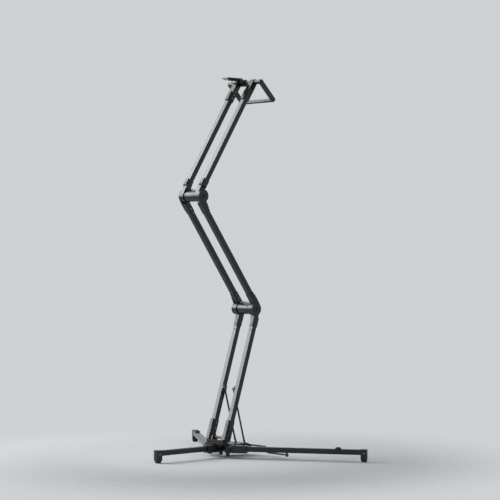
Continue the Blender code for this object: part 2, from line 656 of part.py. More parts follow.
def build_lower_arm(arm, dark, black):
    """Two tubes, their feet on the foot axle, and the first elbow's inner lugs and barrel."""
    top_axis = (-ELBOW_OFFSET, LOWER_LENGTH)
    foot_top = 0.0688
    top_low = LOWER_LENGTH - 0.0685
    tube_low, tube_high = 0.0150, top_low + SLEEVE_LENGTH - 0.0065
    x_lug = TUBE_INNER - GAP
    for name, side in SIDES:
        mast_tube(f"lower_tube_{name}", arm, black, side, 0.0, tube_low, tube_high)
        label = f"lower_foot_{name}"
        bottom = -EAR_RADIUS - 0.0005
        x0, x1 = span(side, SLEEVE_INNER, SLEEVE_OUTER)
        foot = soften(box(label, arm, dark, (x0, -SLEEVE_HALF_DEPTH, bottom),
                          (x1, SLEEVE_HALF_DEPTH, foot_top)), 0.0012)
        middle, front = side * TUBE_X, -SLEEVE_HALF_DEPTH - FOOT_CLAMP_PROUD
        block = soften(box(label + "_block", arm, None, (middle - CLAMP_WIDTH / 2, front, bottom + 0.001),
                           (middle + CLAMP_WIDTH / 2, -SLEEVE_HALF_DEPTH + 0.001, foot_top)), 0.0012)
        join(foot, block)
        cut(foot, tube_socket(label, arm, side, 0.0, tube_low - GAP, foot_top + 0.02),
            cross_bore(label, arm, FOOT_AXLE_RADIUS, (0, 0), sides=MEDIUM_ROUND),
            *clamp_cuts(label, arm, side, 0.0, FOOT_CLAMP_PROUD, 0.0345, foot_top + 0.01, 0.0345))
        inner_fitting(f"lower_head_{name}", arm, dark, side, 0.0, top_axis, top_low,
                      top_low + SLEEVE_LENGTH, 1, 0.0015, top_low + 0.0042)
        eye_x = span(side, STAY_X + STAY_EYE_WIDTH / 2 + GAP, x_lug)
        centre = (-STAY_AHEAD, STAY_STATION)
        lug_outline = hull(circle(centre, 0.0065, SMALL_ROUND),
                           rectangle((-0.0075, STAY_STATION - 0.012), (0.0075, STAY_STATION + 0.012)))
        lug = plate(f"stay_lug_{name}", arm, dark, (lug_outline,), *eye_x, "X")
        pin_x = span(side, STAY_X - STAY_EYE_WIDTH / 2, STAY_X + STAY_EYE_WIDTH / 2 + 2 * GAP)
        join(lug, cylinder(f"stay_pin_{name}", arm, None, STAY_PIN_RADIUS, (pin_x[0], *centre),
                           (pin_x[1], *centre), SMALL_ROUND))
    elbow_barrel("elbow_1_barrel", arm, dark, top_axis, 1)


def build_stays(stays, length, angle, steel):
    """The two stay rods, hung from the lower arm; their frame's -Z turned by angle points along them."""
    direction = Vector((0.0, math.sin(angle), -math.cos(angle)))
    for name, side in SIDES:
        x = side * STAY_X
        top = Vector((x, 0.0, 0.0))
        foot = top + direction * length
        rod = cylinder(f"{name}_stay", stays, steel, STAY_RADIUS, top + direction * 0.0035,
                       foot - direction * 0.0030, SMALL_ROUND)
        half = Vector((STAY_EYE_WIDTH / 2, 0, 0))
        eyes = [cylinder(f"{name}_stay_eye_{i}", stays, None, STAY_EYE_RADIUS, point - half, point + half,
                         SMALL_ROUND) for i, point in enumerate((top, foot))]
        join(rod, *eyes)
        cut(rod, cylinder(f"{name}_stay_bore", stays, None, STAY_PIN_RADIUS + GAP, top - 2 * half,
                          top + 2 * half, SMALL_ROUND))


def build_middle_arm(arm, dark, black, steel):
    """Two tubes carrying the outer lugs and the axles of both elbows."""
    plane = ELBOW_OFFSET
    first, second = (0.0, 0.0), (2 * ELBOW_OFFSET, MIDDLE_LENGTH)
    low_sleeve = (0.0180, 0.0657)
    high_sleeve = (MIDDLE_LENGTH - 0.0657, MIDDLE_LENGTH - 0.0180)
    tube_end = COPE_RADIUS + 0.0045
    for name, side in SIDES:
        mast_tube(f"middle_tube_{name}", arm, black, side, plane, tube_end, MIDDLE_LENGTH - tube_end)
        outer_fitting(f"elbow_1_lug_{name}", arm, dark, side, plane, first, *low_sleeve, -1)
        outer_fitting(f"elbow_2_lug_{name}", arm, dark, side, plane, second, *high_sleeve, 1)
    half = OUTER_LUG_FACE - 0.0006
    for number, axis in (("1", first), ("2", second)):
        cylinder(f"elbow_{number}_axle", arm, steel, AXLE_RADIUS, (-half, *axis), (half, *axis), MEDIUM_ROUND)


def build_upper_arm(arm, dark, black, steel):
    """Two tubes, the second elbow's inner lugs and barrel, and the sleeves that carry the top axle."""
    plane = -ELBOW_OFFSET
    sleeve_low = 0.0320
    top = (plane, UPPER_LENGTH)
    top_low = UPPER_LENGTH - 0.0855
    tube_high = UPPER_LENGTH - 0.0180
    for name, side in SIDES:
        mast_tube(f"upper_tube_{name}", arm, black, side, plane, sleeve_low + 0.0065, tube_high)
        inner_fitting(f"upper_foot_{name}", arm, dark, side, plane, (0.0, 0.0), sleeve_low, 0.0630, -1,
                      CLAMP_PROUD, sleeve_low + 0.0040)
        label = f"upper_head_{name}"
        x0, x1 = span(side, SLEEVE_INNER, SLEEVE_OUTER)
        front = plane - SLEEVE_HALF_DEPTH
        outline = hull(circle(top, SLEEVE_HALF_DEPTH),
                       rectangle((front, top_low), (plane + SLEEVE_HALF_DEPTH, top_low + 0.01)))
        head = soften(plate(label, arm, dark, (outline,), x0, x1, "X"), 0.0010)
        middle, clamp_top = side * TUBE_X, UPPER_LENGTH - 0.0450
        block_low = (middle - CLAMP_WIDTH / 2, front - CLAMP_PROUD, top_low)
        block_high = (middle + CLAMP_WIDTH / 2, front + 0.001, clamp_top)
        block = soften(box(label + "_block", arm, None, block_low, block_high), 0.0012)
        join(head, block)
        cut(head, tube_socket(label, arm, side, plane, top_low - 0.02, tube_high + GAP),
            cross_bore(label, arm, TOP_AXLE_RADIUS, top, 0.1, SMALL_ROUND),
            *clamp_cuts(label, arm, side, plane, CLAMP_PROUD, top_low - 0.01, clamp_top, clamp_top + 0.0020))
    elbow_barrel("elbow_2_barrel", arm, dark, (0.0, 0.0), 1)
    half = STRUT_INNER + STRUT_THICKNESS - 0.001
    cylinder("top_axle", arm, steel, TOP_AXLE_RADIUS, (-half, *top), (half, *top), SMALL_ROUND)


def dovetail(middle, half, low, high):
    """A dovetail outline, 37 degrees off upright, that narrows from low to high."""
    slope = (high - low) * math.tan(math.radians(37))
    return [(middle - half, low), (middle + half, low), (middle + half - slope, high),
            (middle - half + slope, high)]


def build_head(head, dark, black, steel):
    """Tilting arm, lock boss, spacer and dovetail clamp between the tubes, with the release plate on it."""
    arm_right = ARM_LEFT + ARM_THICKNESS
    outline = hull(circle((0, 0), ARM_RADIUS, MEDIUM_ROUND),
                   rectangle((0.004 - CLAMP_FRONT, CLAMP_LOW + LUG_STEP), (0.0, CLAMP_HIGH / 3)))
    arm = soften(plate("head_arm", head, black, (outline,), ARM_LEFT, arm_right, "X"), 0.0010)
    clamp = soften(box("head_clamp", head, None, (CLAMP_LEFT, -CLAMP_FRONT, CLAMP_LOW),
                       (CLAMP_RIGHT, -CLAMP_REAR, CLAMP_HIGH)), 0.0015)
    middle = (CLAMP_LEFT + CLAMP_RIGHT) / 2
    groove_floor = CLAMP_HIGH - DOVETAIL_DEPTH
    groove_outline = dovetail(middle, DOVETAIL_HALF, groove_floor, CLAMP_HIGH + 0.001)
    groove = plate("head_groove", head, None, (groove_outline,), -CLAMP_FRONT - 0.002, 0.002 - CLAMP_REAR, "Y")
    join(arm, clamp)
    cut(arm, groove, cylinder("head_arm_bore", head, None, TOP_AXLE_RADIUS + GAP, (-0.05, 0, 0), (0.05, 0, 0),
                              SMALL_ROUND))
    bore = TOP_AXLE_RADIUS + GAP
    boss_left = arm_right + GAP
    boss_right = boss_left + BOSS_WIDTH
    turned("tilt_lock_boss", head, dark,
           ((bore, boss_right), (BOSS_RADIUS - 0.001, boss_right), (BOSS_RADIUS, boss_right - 0.001),
            (BOSS_RADIUS, boss_left), (bore, boss_left), (bore, boss_right)), (0, 0, 0), (1, 0, 0))
    turned("head_spacer", head, steel,
           ((bore, SLEEVE_INNER - RUNNING_GAP), (SPACER_RADIUS, SLEEVE_INNER - RUNNING_GAP),
            (SPACER_RADIUS, boss_right + GAP), (bore, boss_right + GAP), (bore, SLEEVE_INNER - RUNNING_GAP)),
           (0, 0, 0), (1, 0, 0), MEDIUM_ROUND)
    plate_low = CLAMP_HIGH + GAP
    release = soften(box("release_plate", head, dark, (CLAMP_LEFT + 0.001, -PLATE_FRONT, plate_low),
                         (CLAMP_RIGHT - 0.001, -PLATE_REAR, plate_low + PLATE_THICKNESS)), 0.0012, 2)
    tongue_outline = dovetail(middle, DOVETAIL_HALF - 1.5 * GAP, groove_floor + GAP, plate_low + 0.001)
    tongue = plate("release_tongue", head, None, (tongue_outline,), 0.004 - PLATE_FRONT, -PLATE_REAR - 0.001,
                   "Y")
    under = groove_floor + GAP
    bore = cylinder("release_bore", head, None, SCREW_RADIUS + GAP, (middle, -SCREW_Y, under - 0.01),
                    (middle, -SCREW_Y, plate_low + PLATE_THICKNESS + 0.01), SMALL_ROUND)
    cut(join(release, tongue), bore)
    seat = under - GAP
    turned("camera_screw", head, steel,
           ((0.0, plate_low + PLATE_THICKNESS - GAP), (SCREW_RADIUS, plate_low + PLATE_THICKNESS - GAP),
            (SCREW_RADIUS, seat), (SCREW_HEAD_RADIUS, seat), (SCREW_HEAD_RADIUS, seat - SCREW_HEAD + 0.0006),
            (SCREW_HEAD_RADIUS - 0.0006, seat - SCREW_HEAD), (0.0, seat - SCREW_HEAD)),
           (middle, -SCREW_Y, 0), (0, 0, 1), MEDIUM_ROUND)
    knob_x = CLAMP_RIGHT + GAP
    y = -(CLAMP_FRONT + CLAMP_REAR) / 2
    z = (CLAMP_LOW + CLAMP_HIGH) / 2
    turned("clamp_knob", head, black,
           ((0.0, knob_x + KNOB_LENGTH), (KNOB_RADIUS - 0.0015, knob_x + KNOB_LENGTH),
            (KNOB_RADIUS, knob_x + KNOB_LENGTH - 0.0015), (KNOB_RADIUS, knob_x + 0.004),
            (0.0055, knob_x + 0.0028), (0.0055, knob_x), (0.0, knob_x)), (0, y, z), (1, 0, 0), MEDIUM_ROUND)


def build_handle(handle, dark):
    """Two struts on the top axle outside the tubes, joined by a crossbar; along the frame's +Y."""
    for name, side in SIDES:
        x0, x1 = span(side, STRUT_INNER, HANDLE_FACE)
        outline = hull(circle((0, 0), STRUT_WIDTH / 2, MEDIUM_ROUND),
                       rectangle((HANDLE_REACH - 0.004, -STRUT_WIDTH / 2),
                                 (HANDLE_REACH + CROSSBAR_DEPTH / 2 + 0.0005, STRUT_WIDTH / 2)))
        strut = soften(plate(f"handle_strut_{name}", handle, dark, (outline,), x0, x1, "X"), 0.0012)
        b0, b1 = span(side, SLEEVE_OUTER + RUNNING_GAP, STRUT_INNER + 0.001)
        join(strut, cylinder(f"handle_hinge_{name}", handle, None, HINGE_RADIUS, (b0, 0, 0), (b1, 0, 0),
                             MEDIUM_ROUND))
        c0, c1 = span(side, 0.0, HANDLE_FACE - 0.0008)
        cut(strut, cylinder(f"handle_bore_{name}", handle, None, TOP_AXLE_RADIUS + GAP, (c0, 0, 0),
                            (c1, 0, 0), SMALL_ROUND))
    half = STRUT_INNER - GAP
    front, rear = HANDLE_REACH - CROSSBAR_DEPTH / 2, HANDLE_REACH + CROSSBAR_DEPTH / 2
    soften(box("handle_crossbar", handle, dark, (-half, front, -CROSSBAR_HEIGHT / 2),
               (half, rear, CROSSBAR_HEIGHT / 2)), 0.0022, 2)


def main():
    clear_scene()
    black = finish("black_anodised_tube", (0.018, 0.019, 0.021), 0.32, 0.85)
    dark = finish("black_anodised_casting", (0.024, 0.025, 0.027), 0.38, 0.80)
    steel = finish("blackened_steel", (0.030, 0.030, 0.032), 0.30, 0.90)
    rubber = finish("black_rubber", (0.012, 0.012, 0.013), 0.75, 0.0)

    base = joint_empty("base_frame", (0, -CENTRE_Y, 0))
    build_hub(base, dark, steel)
    build_bracket(base, dark, steel)
    build_leg("front", joint_empty("front_leg_frame", (0, FRONT_PIVOT_Y, 0), base, turn=-90), FRONT_LEG_REACH,
              dark, black, rubber)
    right = joint_empty("right_leg_axis", (SIDE_PIVOT_X, SIDE_PIVOT_Y, 0), base, turn=LEG_SPLAY)
    left = joint_empty("left_leg_axis", (-SIDE_PIVOT_X, SIDE_PIVOT_Y, 0), base, turn=180 - LEG_SPLAY)
    build_leg("right", right, SIDE_LEG_REACH, dark, black, rubber, RIGHT_BUMPER_SETBACK)
    build_leg("left", left, SIDE_LEG_REACH, dark, black, rubber, LEFT_BUMPER_SETBACK)
    for name, side in SIDES:
        pivot = joint_empty(f"{name}_brace_axis", (side * BRACE_PIVOT_X, BRACE_PIVOT_Y, 0), base,
                            turn=90 - 90 * side)
        build_brace(name, pivot, steel)

    lower = joint_empty("mast_foot_axis", (0, FOOT_Y, FOOT_Z), base, -LOWER_LEAN)
    build_lower_arm(lower, dark, black)
    stay_axis = (0, -STAY_AHEAD, STAY_STATION)
    stays = joint_empty("stay_axis", stay_axis, lower)
    lean = math.radians(LOWER_LEAN)
    top = Vector((FOOT_Y - STAY_AHEAD * math.cos(lean) + STAY_STATION * math.sin(lean),
                  FOOT_Z + STAY_AHEAD * math.sin(lean) + STAY_STATION * math.cos(lean)))
    reach = Vector((STAY_FOOT_Y, STAY_FOOT_Z)) - top
    build_stays(stays, reach.length, math.atan2(reach.x, -reach.y) + lean, steel)

    middle = joint_empty("elbow_1_axis", (0, -ELBOW_OFFSET, LOWER_LENGTH), lower, LOWER_LEAN - MIDDLE_LEAN)
    build_middle_arm(middle, dark, black, steel)
    upper = joint_empty("elbow_2_axis", (0, 2 * ELBOW_OFFSET, MIDDLE_LENGTH), middle,
                        MIDDLE_LEAN - UPPER_LEAN)
    build_upper_arm(upper, dark, black, steel)
    head = joint_empty("head_axis", (0, -ELBOW_OFFSET, UPPER_LENGTH), upper, UPPER_LEAN + HEAD_PITCH)
    build_head(head, dark, black, steel)
    handle = joint_empty("handle_axis", (0, -ELBOW_OFFSET, UPPER_LENGTH), upper, UPPER_LEAN - HANDLE_DROP)
    build_handle(handle, dark)


main()
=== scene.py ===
"""Looks of an overhead camera stand: black anodised tubes and fittings, steel and rubber, on a plain floor.

Each arm, leg, head and handle has a place, a matrix on its joint with the axes of the part's source, and its
pieces are modelled in that place's own axes: +Z along an arm with +Y to its rear, +X along a leg.
"""
import json
import math

import bmesh
import bpy
from mathutils import Matrix, Vector


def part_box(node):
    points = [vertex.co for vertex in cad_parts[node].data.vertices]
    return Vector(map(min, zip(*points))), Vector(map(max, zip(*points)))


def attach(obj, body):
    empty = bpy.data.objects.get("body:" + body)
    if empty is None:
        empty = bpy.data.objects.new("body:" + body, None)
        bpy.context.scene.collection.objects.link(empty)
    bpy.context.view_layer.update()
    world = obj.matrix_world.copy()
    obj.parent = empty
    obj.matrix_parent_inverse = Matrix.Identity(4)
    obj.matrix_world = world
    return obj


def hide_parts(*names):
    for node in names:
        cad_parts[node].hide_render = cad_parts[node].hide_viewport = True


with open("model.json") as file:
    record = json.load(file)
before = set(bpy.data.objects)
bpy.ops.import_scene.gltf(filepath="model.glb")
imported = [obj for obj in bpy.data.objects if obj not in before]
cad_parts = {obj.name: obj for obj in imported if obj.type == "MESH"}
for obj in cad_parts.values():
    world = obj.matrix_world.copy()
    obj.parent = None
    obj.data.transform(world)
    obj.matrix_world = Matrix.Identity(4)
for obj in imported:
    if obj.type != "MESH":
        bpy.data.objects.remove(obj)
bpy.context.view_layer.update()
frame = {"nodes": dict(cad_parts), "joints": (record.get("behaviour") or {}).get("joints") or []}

NODES = frame["nodes"]
JOINTS = {joint["name"]: Vector(joint["pos_m"]) for joint in frame["joints"]}
SIDES = (("left", -1), ("right", 1))

# Clearances
GAP = 0.0003
RUNNING_GAP = 0.0005
COPE = 0.0010
FOLD_CLEARANCE = 0.0010
LUG_STEP = 0.0004

# How far a cutting form runs past what it cuts
THROUGH = 0.1
PAST = 0.01
JUST_PAST = 0.002

# Tubes
TUBE_WALL = 0.0018
TUBE_CORNER = 0.0022
BORE_CORNER = 0.0006

# Axles and pins
AXLE_RADIUS = 0.0060
FOOT_AXLE_RADIUS = 0.0050
TOP_AXLE_RADIUS = 0.0040
AXLE_LIP = 0.0006
AXLE_SOCKET = 0.0040
BOLT_RADIUS = 0.0040
BOLT_HEAD = 0.0050
BRACE_PIN_RADIUS = 0.0026
STAY_PIN_RADIUS = 0.0024

# Elbows
ELBOW_OFFSET = 0.0150
LUG_RADIUS = 0.0245
OUTER_LUG = 0.0078
INNER_NECK = 0.0160
OUTER_NECK = 0.0340
BARREL_RADIUS = 0.0215
BARREL_LIP = 0.0012
GROOVE_NEAR = 0.0052
GROOVE_FAR = 0.0070
GROOVE_DEPTH = 0.0009
GROOVE_SLOPE = 0.0004
STOP_HALF = 0.0100
STOP_INSET = 0.0085

# Clamp sleeves
SLEEVE_WALL = 0.0016
SLEEVE_CORNER = 0.0030
SOCKET_WEB = 0.0020
CLAMP_WIDTH = 0.0176
CLAMP_ROOT = 0.0040
CLAMP_CORNER = 0.0012
CLAMP_PROUD = 0.0045
FOOT_CLAMP_PROUD = 0.0060
ELBOW_CLAMP_PROUD = 0.0015
CLAMP_SCREW_DEPTH = 0.0036
SLIT = 0.0012
SLIT_DEPTH = 0.0022
NOTCH_HALF = 0.0016
NOTCH_DEPTH = 0.0018

# Cover plates
COVER_HALF = 0.0074
COVER_END = 0.0065
COVER_THICKNESS = 0.0010
COVER_BITE = 0.0002

# Legs and hub, in the hub's own axes
MAST_FOOT_Y = 0.0385
MAST_FOOT_Z = 0.0770
HUB_PLATE_LOW = 0.0300
HUB_PLATE_HIGH = 0.0380
LOBE_RADIUS = 0.0170
TAIL_HALF = 0.0340
TAIL_FRONT = 0.0645
TAIL_REAR = 0.1640
TAIL_WALL = 0.0060
TAIL_CORNER = 0.0060
TAIL_POCKET = 0.0365
LEDGE_TOP = 0.0382
LEDGE_HALF = 0.0300
LEDGE_CORNER = 0.0080
KNUCKLE_ROOT = 0.0185
KNUCKLE_CHEEK = 0.0084
KNUCKLE_CORNER = 0.0034
TONGUE = 0.0130
LEG_UNDERSIDE = 0.0275
POST_CORNER = 0.0030
POST_RECESS = 0.0025
PAD_SPIGOT = 0.0045

# Mast bracket
EAR_RADIUS = 0.0110
CHEEK_WIDTH = 0.0085
BRACKET_TOP = 0.0695
BRACKET_WIDTH = 0.0960
BRACKET_PLATE = 0.0050
BRACKET_STEP = 0.0376
CHANNEL_HALF = 0.0155
CHANNEL_TOP = 0.0530

# Braces and stays
BRACE_WIDTH = 0.0100
BRACE_THICKNESS = 0.0050
BRACE_DROP = 0.0225
BRACE_STEP = 0.0980
BRACE_EYE = 0.0080
BRACE_PEG = 0.0040
STAY_RADIUS = 0.0035
STAY_X = 0.0262
STAY_FOOT_Y = 0.1490
STAY_FOOT_Z = 0.0495
STAY_EYE = 0.0050
STAY_EYE_WIDTH = 0.0066
STAY_NUT = 0.0048

# Head, from its own axis
ARM_LEFT = -0.0290
ARM_THICKNESS = 0.0130
BOSS_RADIUS = 0.0138
SPACER_RADIUS = 0.0078
CLAMP_REAR = -0.0180
CLAMP_LOW = -0.0020
CLAMP_HIGH = 0.0110
DOVETAIL_HALF = 0.0150
DOVETAIL_ANGLE = 37
GROOVE_FLOOR = 0.0080
DOVETAIL_DEPTH = 0.0033
JAW_SLIT = 0.0016
JAW_SLIT_LOW = 0.0004
STRIP_X = 0.0125
STRIP_HALF = 0.0042
STRIP_INSET = 0.0060
STRIP_CORNER = 0.0020
STRIP_DEPTH = 0.0008
STRIP_GAP = 0.0002
SCREW_Y = -0.0720
SCREW_RADIUS = 0.0030
SLOT_HALF = 0.0033
SLOT_TRAVEL = 0.0300
KNOB_RADIUS = 0.0085

# Handle
HANDLE_FACE = 0.0950
STRUT_INNER = 0.0865
HINGE_RADIUS = 0.0089

# Head radius, head height and finish of each kind of screw
SCREWS = {
    "cover": (0.0021, 0.0007, "screw"),
    "clamp": (0.0024, 0.0016, "axle"),
    "stay lug": (0.0017, 0.0008, "screw"),
    "knuckle": (0.0024, 0.0007, "axle"),
    "post": (0.0022, 0.0009, "screw"),
    "hub": (0.0030, 0.0014, "axle"),
    "bracket": (0.0026, 0.0012, "axle"),
    "head clamp": (0.0020, 0.0008, "screw"),
    "handle pivot": (0.0058, 0.0018, "axle"),
    "handle bar": (0.0032, 0.0012, "axle"),
}

# Facets of round forms
FINE = 64
MEDIUM = 40
SMALL = 24
SHARP_ANGLE = 32

# Studio and camera
FLOOR_RADIUS = 3.2
FLOOR_DEPTH = 0.02
BACKGROUND = (0.62, 0.64, 0.65)
WORLD_LIGHT = 0.30
CAMERA_LENS = 129.6
CAMERA_TURN = 48.0
CAMERA_PLACE = (5.2928, -4.6019, 0.8067)


# Places

def arm_place(start, end, ahead):
    """A place on an arm's lower joint, with +Z along its tubes, and the arm's length between axes."""
    rise = end - start
    length = math.sqrt(rise.y ** 2 + rise.z ** 2 - ahead ** 2)
    lean = math.atan2(rise.y, rise.z) + math.atan2(ahead, length)
    return Matrix.Translation(start) @ Matrix.Rotation(-lean, 4, "X"), length


def leg_place(pivot, pad):
    """A place on the ground below a leg's pivot, with +X towards its foot pad."""
    low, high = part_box(pad)
    away = (low + high) / 2 - pivot
    ground = Vector((pivot.x, pivot.y, 0.0))
    return Matrix.Translation(ground) @ Matrix.Rotation(math.atan2(away.y, away.x), 4, "Z")


def handle_place(pivot):
    """A place on the handle's hinge, with +Y towards its crossbar."""
    low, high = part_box("handle_crossbar")
    away = (low + high) / 2 - pivot
    return Matrix.Translation(pivot) @ Matrix.Rotation(math.atan2(away.z, away.y), 4, "X")


LOWER, LOWER_LENGTH = arm_place(JOINTS["mast_fold"], JOINTS["elbow_1"], ELBOW_OFFSET)
MIDDLE, MIDDLE_LENGTH = arm_place(JOINTS["elbow_1"], JOINTS["elbow_2"], -2 * ELBOW_OFFSET)
UPPER, UPPER_LENGTH = arm_place(JOINTS["elbow_2"], JOINTS["head_tilt"], ELBOW_OFFSET)
HEAD = Matrix.Translation(JOINTS["head_tilt"])
BASE = Matrix.Translation((0.0, JOINTS["mast_fold"].y - MAST_FOOT_Y, 0.0))
HANDLE = handle_place(JOINTS["handle_swing"])
RIGHT_LEG = leg_place(JOINTS["right_leg_swing"], "right_foot_pad")
LEFT_LEG = leg_place(JOINTS["left_leg_swing"], "left_foot_pad")
FRONT_LEG = leg_place(sum(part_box("front_pivot_bolt"), Vector()) / 2, "front_foot_pad")


def measure(node, place):
    """Lowest and highest corner of a CAD node along a place's own axes."""
    into = place.inverted()
    points = [into @ vertex.co for vertex in NODES[node].data.vertices]
    return Vector(map(min, zip(*points))), Vector(map(max, zip(*points)))


TUBE_LOW, TUBE_HIGH = measure("lower_tube_right", LOWER)
TUBE_INNER = TUBE_LOW.x
TUBE_OUTER = TUBE_HIGH.x
TUBE_X = (TUBE_INNER + TUBE_OUTER) / 2
TUBE_HALF = TUBE_HIGH.y
SLEEVE_INNER = TUBE_INNER - SLEEVE_WALL
SLEEVE_OUTER = TUBE_OUTER + SLEEVE_WALL
SLEEVE_HALF = TUBE_HALF + SLEEVE_WALL
OUTER_LUG_FACE = measure("elbow_1_lug_right", MIDDLE)[1].x
OUTER_LUG_INNER = OUTER_LUG_FACE - OUTER_LUG


# Outlines

def arc(centre, radius, start, end, steps):
    turns = [math.radians(start + (end - start) * i / steps) for i in range(steps + 1)]
    return [(centre[0] + radius * math.cos(t), centre[1] + radius * math.sin(t)) for t in turns]


def circle(radius, centre=(0.0, 0.0), sides=FINE):
    return arc(centre, radius, 0, 360, sides)[:-1]


def rectangle(low, high):
    (x0, y0), (x1, y1) = low, high
    return [(x0, y0), (x1, y0), (x1, y1), (x0, y1)]


def rounded(low, high, radius, steps=5):
    """A rectangle with rounded corners."""
    (x0, y0), (x1, y1) = low, high
    corners = ((x1 - radius, y1 - radius, 0), (x0 + radius, y1 - radius, 90),
               (x0 + radius, y0 + radius, 180), (x1 - radius, y0 + radius, 270))
    return [point for x, y, start in corners for point in arc((x, y), radius, start, start + 90, steps)]


def hexagon(radius):
    """A hexagon with as many points as a small circle, to loft between the two."""
    points = []
    for turn in (2 * math.pi * i / SMALL for i in range(SMALL)):
        facet = turn % (math.pi / 3) - math.pi / 6
        reach = radius * math.cos(math.pi / 6) / math.cos(facet)
        points.append((reach * math.cos(turn), reach * math.sin(turn)))
    return points


def hull(*outlines):
    """The convex outline round several outlines."""
    points = sorted({(round(u, 7), round(v, 7)) for outline in outlines for u, v in outline})

    def half(row):
        edge = []
        for p in row:
            while len(edge) > 1 and ((edge[-1][0] - edge[-2][0]) * (p[1] - edge[-2][1])
                                     - (edge[-1][1] - edge[-2][1]) * (p[0] - edge[-2][0])) <= 1e-10:
                edge.pop()
            edge.append(p)
        return edge[:-1]

    return half(points) + half(points[::-1])


def span(side, first, second):
    """An X range on one side of the stand, low value first."""
    return sorted((side * first, side * second))


def both_ends(end, low, high):
    """A turned profile from low to high whose two ends are alike. A point of an end has its inset last."""
    return ([(*reach, low + inset) for *reach, inset in end]
            + [(*reach, high - inset) for *reach, inset in reversed(end)])


# Forms

ALONG = {
    "X": lambda u, v, w: Vector((w, u, v)),
    "Y": lambda u, v, w: Vector((u, w, v)),
    "Z": lambda u, v, w: Vector((u, v, w)),
}


def loft(loops, ring=False):
    """A closed skin through loops of as many points each: capped, or joined end to start as a ring."""
    skin = bmesh.new()
    rows = [[skin.verts.new(point) for point in loop] for loop in loops]
    pairs = list(zip(rows, rows[1:]))
    if ring:
        pairs.append((rows[-1], rows[0]))
    for near, far in pairs:
        for i in range(len(near)):
            j = (i + 1) % len(near)
            skin.faces.new((near[i], near[j], far[j], far[i]))
    if not ring:
        skin.faces.new(rows[0][::-1])
        skin.faces.new(rows[-1])
    bmesh.ops.recalc_face_normals(skin, faces=skin.faces)
    return skin


def prism(outline, low, high, axis):
    """An outline given thickness: its coordinates are (y, z) along X, (x, z) along Y and (x, y) along Z."""
    lay = ALONG[axis]
    return loft([[lay(u, v, w) for u, v in outline] for w in (low, high)])


def sleeve(outer, inner, low, high, axis):
    """A hollow prism between two outlines with as many points."""
    lay = ALONG[axis]
    rows = ((outer, low), (outer, high), (inner, high), (inner, low))
    return loft([[lay(u, v, w) for u, v in outline] for outline, w in rows], ring=True)


def block(low, high):
    return prism(rectangle(low[:2], high[:2]), low[2], high[2], "Z")


def turned(profile, axis="Z", centre=(0.0, 0.0), sides=FINE, ring=False):
    """A turned form of (radius, place along the axis) points."""
    lay = ALONG[axis]
    return loft([[lay(u, v, w) for u, v in circle(radius, centre, sides)] for radius, w in profile], ring)


def bar(radius, low, high, axis="X", centre=(0.0, 0.0), sides=FINE):
    return turned(((radius, low), (radius, high)), axis, centre, sides)


def bore(radius, centre=(0.0, 0.0), axis="X", sides=MEDIUM, gap=GAP):
    """What a hole for a pin takes away, right through the piece."""
    return bar(radius + gap, -THROUGH, THROUGH, axis, centre, sides)


def fluted(profile, flutes, axis, centre=(0.0, 0.0), ring=False):
    """A turned form of (radius, depth of its flutes, place along the axis) points."""
    lay = ALONG[axis]
    turns = [2 * math.pi * i / (flutes * 6) for i in range(flutes * 6)]
    rows = []
    for radius, depth, w in profile:
        reach = [radius - depth * (0.5 - 0.5 * math.cos(flutes * turn)) for turn in turns]
        rows.append([lay(centre[0] + r * math.cos(t), centre[1] + r * math.sin(t), w)
                     for r, t in zip(reach, turns)])
    return loft(rows, ring)


def solid(name, skin, place):
    """An object of a skin in a place."""
    mesh = bpy.data.meshes.new(name)
    skin.to_mesh(mesh)
    skin.free()
    piece = bpy.data.objects.new(name, mesh)
    piece.matrix_world = place
    bpy.context.scene.collection.objects.link(piece)
    return piece


def socketed(name, profile, key, deep, place, axis="Z", centre=(0.0, 0.0), both=False):
    """A pin turned from low to high, with a hexagon socket in its high end, or in both."""
    lay = ALONG[axis]
    low, high = profile[0][1], profile[-1][1]
    rows = [(circle(radius, sides=SMALL), w) for radius, w in profile]
    rows += [(hexagon(key), high), (hexagon(key), high - deep)]
    if both:
        rows = [(hexagon(key), low + deep), (hexagon(key), low)] + rows
    skin = loft([[lay(u + centre[0], v + centre[1], w) for u, v in outline] for outline, w in rows])
    return solid(name, skin, place)


def settle(piece):
    """Applies what shapes the piece."""
    view = bpy.context.evaluated_depsgraph_get()
    view.update()
    mesh = bpy.data.meshes.new_from_object(piece.evaluated_get(view))
    piece.modifiers.clear()
    old, piece.data = piece.data, mesh
    name = old.name
    bpy.data.meshes.remove(old)
    mesh.name = name
    return piece


def shape(piece, operation, forms):
    """Adds skins or objects to a piece, or takes them away."""
    place = piece.matrix_world
    tools = [form if isinstance(form, bpy.types.Object) else solid(piece.name + "_tool", form, place)
             for form in forms]
    for tool in tools:
        step = piece.modifiers.new("shape", "BOOLEAN")
        step.operation = operation
        step.object = tool
        step.solver = "EXACT"
    settle(piece)
    for tool in tools:
        mesh = tool.data
        bpy.data.objects.remove(tool, do_unlink=True)
        bpy.data.meshes.remove(mesh)
    return piece


def join(piece, *forms):
    return shape(piece, "UNION", forms)


def cut(piece, *forms):
    return shape(piece, "DIFFERENCE", forms)


def ease(piece, width, segments=2, angle=38):
    """Rounds the sharp edges."""
    edge = piece.modifiers.new("ease", "BEVEL")
    edge.width = width
    edge.segments = segments
    edge.limit_method = "ANGLE"
    edge.angle_limit = math.radians(angle)
    edge.miter_outer = "MITER_ARC"
    return settle(piece)


